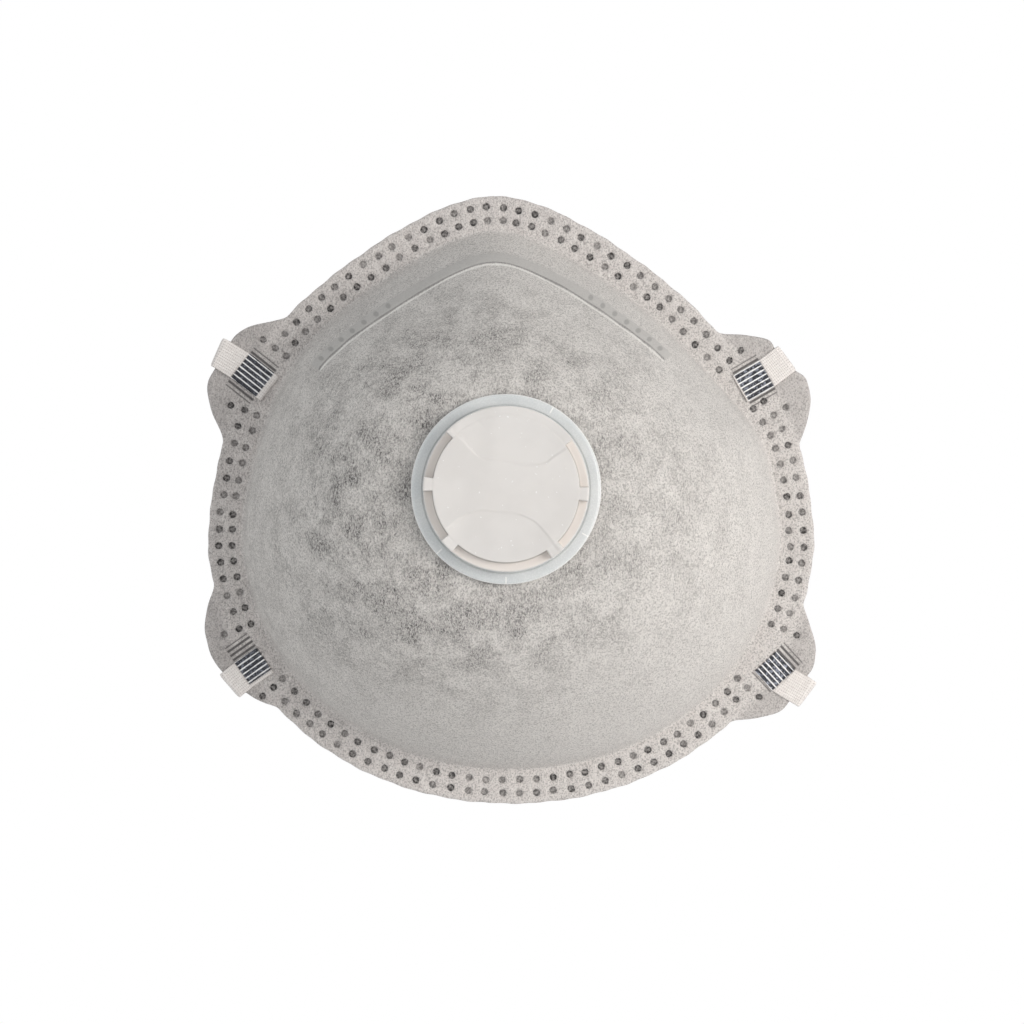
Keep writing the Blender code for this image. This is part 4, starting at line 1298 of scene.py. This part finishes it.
class Web:
    # Short ways to add nodes to a tree. A value may be a socket, a number or a colour.
    def __init__(self, tree):
        self.tree = tree

    def put(self, target, value):
        if isinstance(value, bpy.types.NodeSocket):
            self.tree.links.new(value, target)
        elif value is not None:
            target.default_value = value

    def node(self, kind, **settings):
        made = self.tree.nodes.new("ShaderNode" + kind)
        for key, value in settings.items():
            setattr(made, key, value)
        return made

    def place(self):
        return self.node("TexCoord").outputs["Object"]

    def read(self, name):
        return self.node("Attribute", attribute_name=name).outputs["Fac"]

    def math(self, operation, a, b=None, c=None):
        made = self.node("Math", operation=operation)
        for socket, value in zip(made.inputs, (a, b, c)):
            self.put(socket, value)
        return made.outputs[0]

    def step(self, value, low, high, start=0.0, end=1.0):
        made = self.node("MapRange", interpolation_type="SMOOTHSTEP")
        for key, given in (("Value", value), ("From Min", low), ("From Max", high),
                           ("To Min", start), ("To Max", end)):
            self.put(made.inputs[key], given)
        return made.outputs[0]

    def mix(self, share, a, b, blend="MIX"):
        made = self.node("Mix", data_type="RGBA", blend_type=blend)
        self.put(made.inputs["Factor"], share)
        self.put(made.inputs[6], a)
        self.put(made.inputs[7], b)
        return made.outputs[2]

    def stretch(self, vector, scale=(1, 1, 1), turn=(0, 0, 0)):
        made = self.node("Mapping")
        self.put(made.inputs["Vector"], vector)
        made.inputs["Scale"].default_value = scale
        made.inputs["Rotation"].default_value = [math.radians(angle) for angle in turn]
        return made.outputs[0]

    def noise(self, vector, scale, detail=2.0, roughness=0.5, distortion=0.0):
        made = self.node("TexNoise")
        self.put(made.inputs["Vector"], vector)
        made.inputs["Scale"].default_value = scale
        made.inputs["Detail"].default_value = detail
        made.inputs["Roughness"].default_value = roughness
        made.inputs["Distortion"].default_value = distortion
        return made.outputs[0]

    def curled(self, vector, scale, amount):
        # Pushes places about by a noise, so that straight streaks curl.
        made = self.node("TexNoise")
        self.put(made.inputs["Vector"], vector)
        made.inputs["Scale"].default_value = scale
        made.inputs["Detail"].default_value = 1.0
        centred = self.node("VectorMath", operation="SUBTRACT")
        self.put(centred.inputs[0], made.outputs["Color"])
        centred.inputs[1].default_value = (0.5, 0.5, 0.5)
        scaled = self.node("VectorMath", operation="SCALE")
        self.put(scaled.inputs[0], centred.outputs[0])
        scaled.inputs["Scale"].default_value = amount
        moved = self.node("VectorMath", operation="ADD")
        self.put(moved.inputs[0], vector)
        self.put(moved.inputs[1], scaled.outputs[0])
        return moved.outputs[0]

    def bump(self, height, strength, distance, normal=None):
        made = self.node("Bump")
        made.inputs["Strength"].default_value = strength
        made.inputs["Distance"].default_value = distance
        self.put(made.inputs["Height"], height)
        if normal is not None:
            self.put(made.inputs["Normal"], normal)
        return made.outputs[0]


def nodeGroup(name, outputs):
    tree = bpy.data.node_groups.new(name, "ShaderNodeTree")
    for output in outputs:
        tree.interface.new_socket(name=output, in_out="OUTPUT", socket_type="NodeSocketFloat")
    return Web(tree), tree.nodes.new("NodeGroupOutput")


def makeFibreGroup():
    # A thin nonwoven web: curled fibres lying in three directions over each other.
    web, out = nodeGroup("nonwoven fibres", ["Height", "Shade"])
    place = web.curled(web.place(), 600, 0.0012)
    total = None
    for turn in (12, 71, 133):
        streak = web.noise(web.stretch(place, (5200, 2600, 900), (0, turn, 0)), 1.0, 1.5, 0.5)
        line = web.step(streak, 0.50, 0.70)
        total = line if total is None else web.math("MAXIMUM", total, line)
    shade = web.noise(web.place(), 900, 3.0, 0.6)
    web.put(out.inputs["Height"], total)
    web.put(out.inputs["Shade"], shade)
    return web.tree


def makeCarbonGroup():
    # Dark carbon fibres that show through the web: short curly streaks everywhere, darker in
    # soft patches a few millimetres across.
    web, out = nodeGroup("carbon flecks", ["Flecks"])
    place = web.curled(web.place(), 700, 0.0011)
    streaks = None
    for turn in (28, 95, 152):
        streak = web.noise(web.stretch(place, (4200, 2600, 1250), (0, turn, 0)), 1.0, 1.5, 0.6)
        streaks = streak if streaks is None else web.math("MAXIMUM", streaks, streak)
    lines = web.step(streaks, 0.50, 0.72)
    patches = web.step(web.noise(web.place(), 170, 3.0, 0.62), 0.36, 0.66)
    small = web.step(web.noise(web.place(), 600, 2.0, 0.6, 0.4), 0.36, 0.68)
    dark = web.math("MULTIPLY_ADD", patches, 0.75, web.math("MULTIPLY", small, 0.28))
    web.put(out.inputs["Flecks"], web.math("MULTIPLY", web.math("MULTIPLY_ADD", lines, 0.84, 0.16), dark))
    return web.tree


fibreGroup = makeFibreGroup()
carbonGroup = makeCarbonGroup()


def newMaterial(name, **constants):
    # A material with its shader's constant values set, and a Web to add the rest with.
    made = bpy.data.materials.new(name)
    made.use_nodes = True
    shader = made.node_tree.nodes["Principled BSDF"]
    for key, value in constants.items():
        shader.inputs[key].default_value = value
    return made, Web(made.node_tree), shader


def useGroup(web, tree, output):
    made = web.tree.nodes.new("ShaderNodeGroup")
    made.node_tree = tree
    return made.outputs[output]


webLook = {
    "wall": linear(212, 209, 205),
    "flange": linear(212, 206, 203),
    # light is the pale fibres' colour, and also the colour of the painted light towards the right.
    "light": linear(240, 236, 232),
    "carbon": linear(84, 82, 82),
    "dotDark": linear(44, 42, 42),
    # band, bandShade and bandHighlight: painted shade on the strip over the nose clip, and its painted
    # shadow and highlight.
    "band": linear(186, 184, 181),
    "bandShade": linear(120, 119, 118),
    "bandHighlight": linear(240, 238, 234),
    "ribDark": linear(44, 46, 54),
    "ribGlint": linear(150, 155, 168),
    "ribLight": linear(250, 250, 250),
    "feltRib": linear(78, 76, 76),
    "dotPitch": 3.7,  # of the dimples at the clip's ends, mm
}


def weldMask(web):
    # Dark where a weld dot is pressed in, more so in some dots than others, and blotchy inside.
    near, tone = web.read("dotNear"), web.read("dotTone")
    blotch = web.noise(web.place(), 1900, 2.0, 0.6)
    wobble = web.math("MULTIPLY_ADD", blotch, 0.34, web.math("SUBTRACT", near, 0.17))
    core = web.step(wobble, 0.70, 0.90, 1.0, 0.0)
    ring = web.step(near, 0.10, 0.62, 0.78, 1.0)
    patchy = web.step(web.noise(web.place(), 2100, 1.0, 0.5), 0.35, 0.62, 0.62, 1.0)
    dark = web.math("MULTIPLY", web.math("MULTIPLY", core, web.math("MULTIPLY", ring, patchy)),
                    web.step(tone, 0, 1, 0.62, 1.0))
    return web.math("MAXIMUM", dark, web.step(near, 0.8, 1.3, 0.06, 0.0))


def bandMasks(web):
    # On the strip over the nose clip, painted darker as shade; on the painted shadow line and the
    # painted highlight line along its lower edge; and on the dimples near its ends, painted shade.
    wide = noseBand["width"] / mm
    down, away = web.read("bandDown"), web.read("noseAway")
    ends = web.step(away, noseBand["halfLength"] / mm - 0.6, noseBand["halfLength"] / mm, 1.0, 0.0)
    on = web.math("MULTIPLY", web.step(down, -wide - 0.15, -wide + 0.25),
                  web.step(down, -0.12, 0.0, 1.0, 0.0))
    # dark is a painted shadow line at the strip's lower edge, and light a painted highlight just past it.
    dark = web.math("MULTIPLY", web.step(down, -0.14, -0.04), web.step(down, 0.04, 0.16, 1.0, 0.0))
    light = web.math("MULTIPLY", web.step(down, 0.10, 0.22), web.step(down, 0.34, 0.50, 1.0, 0.0))
    cell = web.math("PINGPONG", away, webLook["dotPitch"] / 2)
    beside = web.math("SUBTRACT", webLook["dotPitch"] / 2, cell)
    height = web.math("ADD", down, wide / 2)
    dimpleGap = web.math("SQRT", web.math("ADD", web.math("MULTIPLY", beside, beside),
                                       web.math("MULTIPLY", height, height)))
    dimpleShade = web.math("MULTIPLY", web.step(dimpleGap, 0.45, 0.85, 1.0, 0.0), web.step(away, 28, 31))
    return [web.math("MULTIPLY", value, ends) for value in (on, dark, light, dimpleShade)]


def ribMask(web):
    # How high a place lies on the ribs of a strap's weld, and whether it is on the weld.
    across, along = web.read("padAcross"), web.read("padAlong")
    phase = web.math("MULTIPLY", across, 2 * math.pi / (strap["pitch"] / mm))
    wave = web.math("MULTIPLY_ADD", web.math("COSINE", phase), 0.5, 0.5)
    on = web.math("MULTIPLY", web.step(web.math("ABSOLUTE", across), 4.5, 4.9, 1.0, 0.0),
                  web.step(web.math("ABSOLUTE", along), 3.1, 3.5, 1.0, 0.0))
    return wave, web.math("MULTIPLY", on, web.read("padNear"))


def makeCoverMaterial():
    made, web, shader = newMaterial("outer cover", **{"Specular IOR Level": 0.25})
    fibre = useGroup(web, fibreGroup, "Height")
    shade = useGroup(web, fibreGroup, "Shade")
    flecks = useGroup(web, carbonGroup, "Flecks")
    share, inward = web.read("share"), web.read("inward")
    split = web.node("SeparateXYZ")
    web.put(split.inputs[0], web.place())
    across, height = split.outputs["X"], split.outputs["Z"]
    onWall = web.step(inward, -0.8, 1.6)
    colour = web.mix(onWall, webLook["flange"], webLook["wall"])
    # Light fibres, and painted light that makes the cover paler towards the right.
    paintedLightSlope = web.math("SUBTRACT", across, web.math("MULTIPLY", height, 0.35))
    pale = web.step(paintedLightSlope, -0.03, 0.06, 0.08, 0.42)
    colour = web.mix(pale, colour, webLook["light"])
    colour = web.mix(web.step(fibre, 0.0, 1.0, 0.0, 0.62), colour, webLook["light"])
    tab = web.step(web.math("MULTIPLY_ADD", shade, 2.0, web.read("edgeIn")), -0.6, 1.6, 0.32, 0.0)
    colour = web.mix(tab, colour, linear(150, 146, 145))
    # The carbon shows most round the valve and less down the wall, at the nose and the chin. Its
    # flecks are also weighted as painted shade and light: more on the left, fewer to the lower right.
    dome = web.step(share, 0.05, 0.75, 0.34, 1.0)
    nose = web.step(height, 0.034, 0.052, 1.0, 0.50)
    chin = web.step(height, -0.058, -0.026, 0.30, 1.0)
    # side and left weight the flecks as painted light towards the lower right and painted shade on the
    # left.
    side = web.step(web.math("SUBTRACT", across, height), 0.030, 0.085, 1.0, 0.62)
    left = web.step(across, -0.050, 0.040, 1.30, 0.66)
    area = web.math("MULTIPLY", web.math("MULTIPLY", dome, nose), web.math("MULTIPLY", chin, side))
    strength = web.math("MULTIPLY", web.math("MULTIPLY", flecks, area), left)
    colour = web.mix(strength, colour, webLook["carbon"])
    fine = web.step(web.noise(web.place(), 2800, 2.0, 0.65), 0.46, 0.64)
    colour = web.mix(web.math("MULTIPLY", fine, 0.50), colour, linear(118, 113, 112))
    on, dark, light, dimpleShade = bandMasks(web)
    # Painted shade over the strip and in its dimples, and a painted highlight and painted shadow line
    # along its lower edge.
    colour = web.mix(web.math("MULTIPLY", on, 0.80), colour, webLook["band"])
    colour = web.mix(web.math("MULTIPLY", dimpleShade, 0.40), colour, webLook["bandShade"])
    colour = web.mix(web.math("MULTIPLY", light, 0.70), colour, webLook["bandHighlight"])
    colour = web.mix(web.math("MULTIPLY", dark, 0.65), colour, webLook["bandShade"])
    weld = weldMask(web)
    colour = web.mix(weld, colour, webLook["dotDark"])
    wave, onPad = ribMask(web)
    between = web.step(web.math("MULTIPLY_ADD", fine, 0.25, wave), 0.25, 0.80, 0.85, 0.0)
    valley = web.math("MULTIPLY", onPad, between)
    colour = web.mix(valley, colour, webLook["feltRib"])
    web.put(shader.inputs["Base Color"], colour)
    rough = web.math("SUBTRACT", 0.95, web.math("MULTIPLY", web.math("MAXIMUM", weld, valley), 0.5))
    web.put(shader.inputs["Roughness"], rough)
    flat = web.math("SUBTRACT", 1.0, web.math("MULTIPLY", on, 0.7))
    bumps = web.math("MULTIPLY", web.math("MULTIPLY_ADD", flecks, -0.35, fibre), flat)
    web.put(shader.inputs["Normal"], web.bump(bumps, 0.55, 0.00014))
    shader.inputs["Subsurface Weight"].default_value = 0.10
    shader.inputs["Subsurface Radius"].default_value = (0.0008, 0.0007, 0.0007)
    shader.inputs["Subsurface Scale"].default_value = 1.0
    return made


def makeLiningMaterial():
    made, web, shader = newMaterial("inner lining", **{"Specular IOR Level": 0.25})
    fibre = useGroup(web, fibreGroup, "Height")
    shade = useGroup(web, fibreGroup, "Shade")
    colour = web.mix(web.step(shade, 0.3, 0.75), linear(240, 239, 237), linear(222, 220, 217))
    colour = web.mix(web.step(fibre, 0.0, 1.0, 0.0, 0.35), colour, linear(250, 250, 249))
    weld = weldMask(web)
    colour = web.mix(web.math("MULTIPLY", weld, 0.75), colour, linear(128, 126, 125))
    web.put(shader.inputs["Base Color"], colour)
    web.put(shader.inputs["Roughness"], web.math("SUBTRACT", 0.95, web.math("MULTIPLY", weld, 0.4)))
    web.put(shader.inputs["Normal"], web.bump(fibre, 0.35, 0.00012))
    return made


def makeFeltMaterial(name, light, dark, carbon):
    # The hidden layers, seen only at their cut edges.
    made, web, shader = newMaterial(name, **{"Specular IOR Level": 0.2})
    fibre = useGroup(web, fibreGroup, "Height")
    shade = useGroup(web, fibreGroup, "Shade")
    colour = web.mix(web.step(shade, 0.3, 0.7), light, dark)
    if carbon:
        colour = web.mix(useGroup(web, carbonGroup, "Flecks"), colour, linear(50, 50, 52))
    web.put(shader.inputs["Base Color"], colour)
    web.put(shader.inputs["Roughness"], web.step(fibre, 0, 1, 0.98, 0.85))
    web.put(shader.inputs["Normal"], web.bump(fibre, 0.5, 0.00015))
    return made


def makeClipMaterial():
    made, web, shader = newMaterial("clip metal", Metallic=1.0)
    brushed = web.noise(web.stretch(web.place(), (300, 300, 4000)), 1.0, 2.0)
    web.put(shader.inputs["Base Color"], web.mix(brushed, linear(205, 207, 210), linear(180, 182, 186)))
    web.put(shader.inputs["Roughness"], web.step(brushed, 0.2, 0.8, 0.28, 0.42))
    web.put(shader.inputs["Normal"], web.bump(brushed, 0.15, 0.00005))
    return made


def makeFoamMaterial():
    # Open cells: pits between thin walls, in two sizes, painted darker as shade in their depths.
    made, web, shader = newMaterial("foam", **{"Specular IOR Level": 0.3})
    cells = web.node("TexVoronoi", feature="DISTANCE_TO_EDGE")
    web.put(cells.inputs["Vector"], web.curled(web.place(), 900, 0.0006))
    cells.inputs["Scale"].default_value = 1500
    small = web.node("TexVoronoi", feature="DISTANCE_TO_EDGE")
    web.put(small.inputs["Vector"], web.place())
    small.inputs["Scale"].default_value = 3100
    pit = web.step(cells.outputs[0], 0.04, 0.30)
    fine = web.step(small.outputs[0], 0.03, 0.30)
    depth = web.math("MULTIPLY_ADD", fine, 0.35, pit)
    colour = web.mix(web.step(depth, 0.0, 1.2), linear(104, 107, 112), linear(48, 50, 54))
    web.put(shader.inputs["Base Color"], colour)
    web.put(shader.inputs["Roughness"], web.step(depth, 0, 1.3, 0.85, 1.0))
    web.put(shader.inputs["Normal"], web.bump(web.math("MULTIPLY", depth, -1.0), 0.8, 0.0003))
    return made


def makePlasticMaterial(name, look):
    # Moulded plastic: faint cloudiness, fine mould texture and a few specks.
    made, web, shader = newMaterial(name, **look["shader"])
    cloud = web.noise(web.place(), 160, 2.0, 0.5)
    grain = web.noise(web.place(), 2600, 2.0, 0.6)
    specks = web.step(web.noise(web.place(), 1500, 1.0, 0.4), 0.74, 0.80)
    colour = web.mix(web.step(cloud, 0.3, 0.7), look["light"], look["dark"])
    colour = web.mix(web.math("MULTIPLY", specks, look["specks"]), colour, linear(255, 255, 255))
    if look.get("ticks"):
        # A painted highlight along the outer edge, and four short scratches left by the mould.
        radius, turn = web.read("radius"), web.read("turn")
        colour = web.mix(web.step(radius, 18.85, 19.1, 0.0, 0.55), colour, linear(252, 252, 250))
        for degrees in (60, 223, 270, 330):
            away = web.math("ABSOLUTE", web.math("SUBTRACT", turn, math.radians(degrees)))
            tick = web.math("MULTIPLY", web.step(away, 0.004, 0.010, 0.8, 0.0),
                            web.step(radius, 17.5, 17.8))
            colour = web.mix(tick, colour, linear(250, 250, 248))
    if look.get("slots"):
        # The slot floors are painted lighter than the cap, as painted light in their sunk recess.
        floor = web.read("slotFloor")
        colour = web.mix(web.math("MULTIPLY", floor, 0.75), colour, look["slots"])
        # A shadowed line where each slot's floor meets the plate.
        rimmed = web.step(web.read("radius"), 14.78, 15.05, 0.5, 0.0)
        corner = web.math("MULTIPLY", rimmed, web.read("inSlot"))
        corner = web.math("MULTIPLY", corner, web.step(web.read("radius"), 14.60, 14.70))
        colour = web.mix(corner, colour, linear(120, 112, 106))
    web.put(shader.inputs["Base Color"], colour)
    low, high = look["rough"]
    web.put(shader.inputs["Roughness"], web.step(grain, 0.3, 0.7, low, high))
    web.put(shader.inputs["Normal"], web.bump(grain, look["bump"], 0.00006))
    return made


plasticLooks = {
    "base plastic": {
        "light": linear(222, 225, 225), "dark": linear(213, 217, 218), "specks": 0.2, "ticks": True,
        "rough": (0.20, 0.32), "bump": 0.12,
        "shader": {"Subsurface Weight": 0.25, "Subsurface Radius": (0.002, 0.002, 0.002),
                   "Subsurface Scale": 1.0, "Coat Weight": 0.15},
    },
    "retainer plastic": {
        "light": linear(232, 232, 228), "dark": linear(222, 222, 218), "specks": 0.2,
        "rough": (0.34, 0.46), "bump": 0.15,
        "shader": {"Subsurface Weight": 0.1, "Subsurface Radius": (0.001, 0.001, 0.001),
                   "Subsurface Scale": 1.0},
    },
    "silicone": {
        "light": linear(236, 236, 232), "dark": linear(226, 226, 222), "specks": 0.1,
        "rough": (0.40, 0.52), "bump": 0.08,
        "shader": {"Subsurface Weight": 0.5, "Subsurface Radius": (0.003, 0.003, 0.003),
                   "Subsurface Scale": 1.0},
    },
    "cover plastic": {
        "light": linear(225, 222, 219), "dark": linear(220, 217, 214), "specks": 0.6,
        # slots is the floors' colour, lighter than the cap as painted light.
        "rough": (0.46, 0.58), "bump": 0.22, "slots": linear(238, 230, 223),
        "shader": {"Subsurface Weight": 0.12, "Subsurface Radius": (0.0012, 0.0011, 0.001),
                   "Subsurface Scale": 1.0},
    },
}


def makeElasticMaterial(name, welded):
    # Knitted elastic: courses across and wales along it make rows of tiny stitches. Where it
    # is welded, ribs of pressed film.
    made, web, shader = newMaterial(name, **{"Sheen Weight": 0.25, "Sheen Roughness": 0.5})
    along, across = web.read("along"), web.read("across")
    loose = web.noise(web.place(), 1200, 2.0, 0.5)
    shifted = web.math("MULTIPLY_ADD", web.math("SUBTRACT", loose, 0.5), 0.10, across)
    phase = web.math("MULTIPLY", shifted, 2 * math.pi / 0.60)
    column = web.math("MULTIPLY_ADD", web.math("COSINE", phase), 0.5, 0.5)
    row = web.math("MULTIPLY_ADD", web.math("COSINE", web.math("MULTIPLY_ADD", along, 2 * math.pi / 0.44,
                   web.math("MULTIPLY", column, 0.9))), 0.5, 0.5)
    hole = web.math("MULTIPLY", web.step(column, 0.0, 0.45, 1.0, 0.0), web.step(row, 0.0, 0.5, 1.0, 0.0))
    height = web.math("MULTIPLY_ADD", hole, -0.9, web.math("MULTIPLY", web.math("ADD", row, column), 0.35))
    fuzz = web.noise(web.stretch(web.place(), (1, 1, 1)), 5200, 2.0, 0.7)
    height = web.math("MULTIPLY_ADD", fuzz, 0.35, height)
    colour = web.mix(web.step(loose, 0.3, 0.7), linear(244, 239, 235), linear(236, 230, 226))
    # The holes between the stitches are painted darker as shade.
    colour = web.mix(web.math("MULTIPLY", hole, 0.42), colour, linear(160, 152, 142))
    rough = web.step(fuzz, 0.2, 0.8, 0.80, 0.95)
    if welded:
        inside = web.read("padInside")
        on = web.step(inside, 0.0, 0.35)
        phase = web.math("MULTIPLY", web.read("padAcross"), 2 * math.pi / (strap["pitch"] / mm))
        wave = web.math("MULTIPLY_ADD", web.math("COSINE", phase), 0.5, 0.5)
        # Dark glossy film in the valleys, with painted glints streaked along the ribs, stronger on the
        # straps nearer the light, and white on the ridges.
        uneven = web.noise(web.place(), 620, 2.0, 0.6)
        glint = web.step(web.noise(web.place(), 1500, 2.0, 0.6), 0.46, 0.66)
        bright = web.read("bright")
        valley = web.mix(web.math("MULTIPLY", glint, web.step(bright, 0, 1, 0.35, 1.0)),
                         webLook["ribDark"], webLook["ribGlint"])
        wave = web.math("MULTIPLY_ADD", web.math("SUBTRACT", uneven, 0.5), 0.55, wave)
        ridge = web.step(wave, 0.76, 0.90)
        ribs = web.mix(ridge, valley, webLook["ribLight"])
        colour = web.mix(on, colour, ribs)
        rough = web.math("SUBTRACT", rough, web.math("MULTIPLY", on, 0.62))
        height = web.math("MULTIPLY", height, web.math("SUBTRACT", 1.0, web.math("MULTIPLY", on, 0.85)))
    web.put(shader.inputs["Base Color"], colour)
    web.put(shader.inputs["Roughness"], rough)
    web.put(shader.inputs["Normal"], web.bump(height, 0.6, 0.00018))
    return made


def wear(obj, material):
    obj.data.materials.clear()
    obj.data.materials.append(material)


wear(outerCover, makeCoverMaterial())
wear(innerLining, makeLiningMaterial())
feltLooks = {
    "carbonFelt": ("carbon felt", (110, 110, 112), (80, 80, 82), True),
    "filterLayer": ("filter media", (244, 244, 244), (230, 230, 230), False),
    "supportShell": ("support shell", (236, 235, 232), (216, 214, 210), False),
}
for layerName, (feltName, lightTone, darkTone, carbon) in feltLooks.items():
    felt = makeFeltMaterial(feltName, linear(*lightTone), linear(*darkTone), carbon)
    wear(middleLayers[layerName], felt)
wear(clipPiece, makeClipMaterial())
wear(foamPiece, makeFoamMaterial())
for pieceName, lookName in (("valveBase", "base plastic"), ("valveRetainer", "retainer plastic"),
                            ("valveFlap", "silicone"), ("valveCover", "cover plastic")):
    wear(valvePieces[pieceName][0], makePlasticMaterial(lookName, plasticLooks[lookName]))
elastic, weldedElastic = makeElasticMaterial("elastic", False), makeElasticMaterial("welded elastic", True)
for band in (upperBand, lowerBand):
    wear(band, elastic)
for strapEnd in strapEnds.values():
    wear(strapEnd, weldedElastic)
print("materials made")
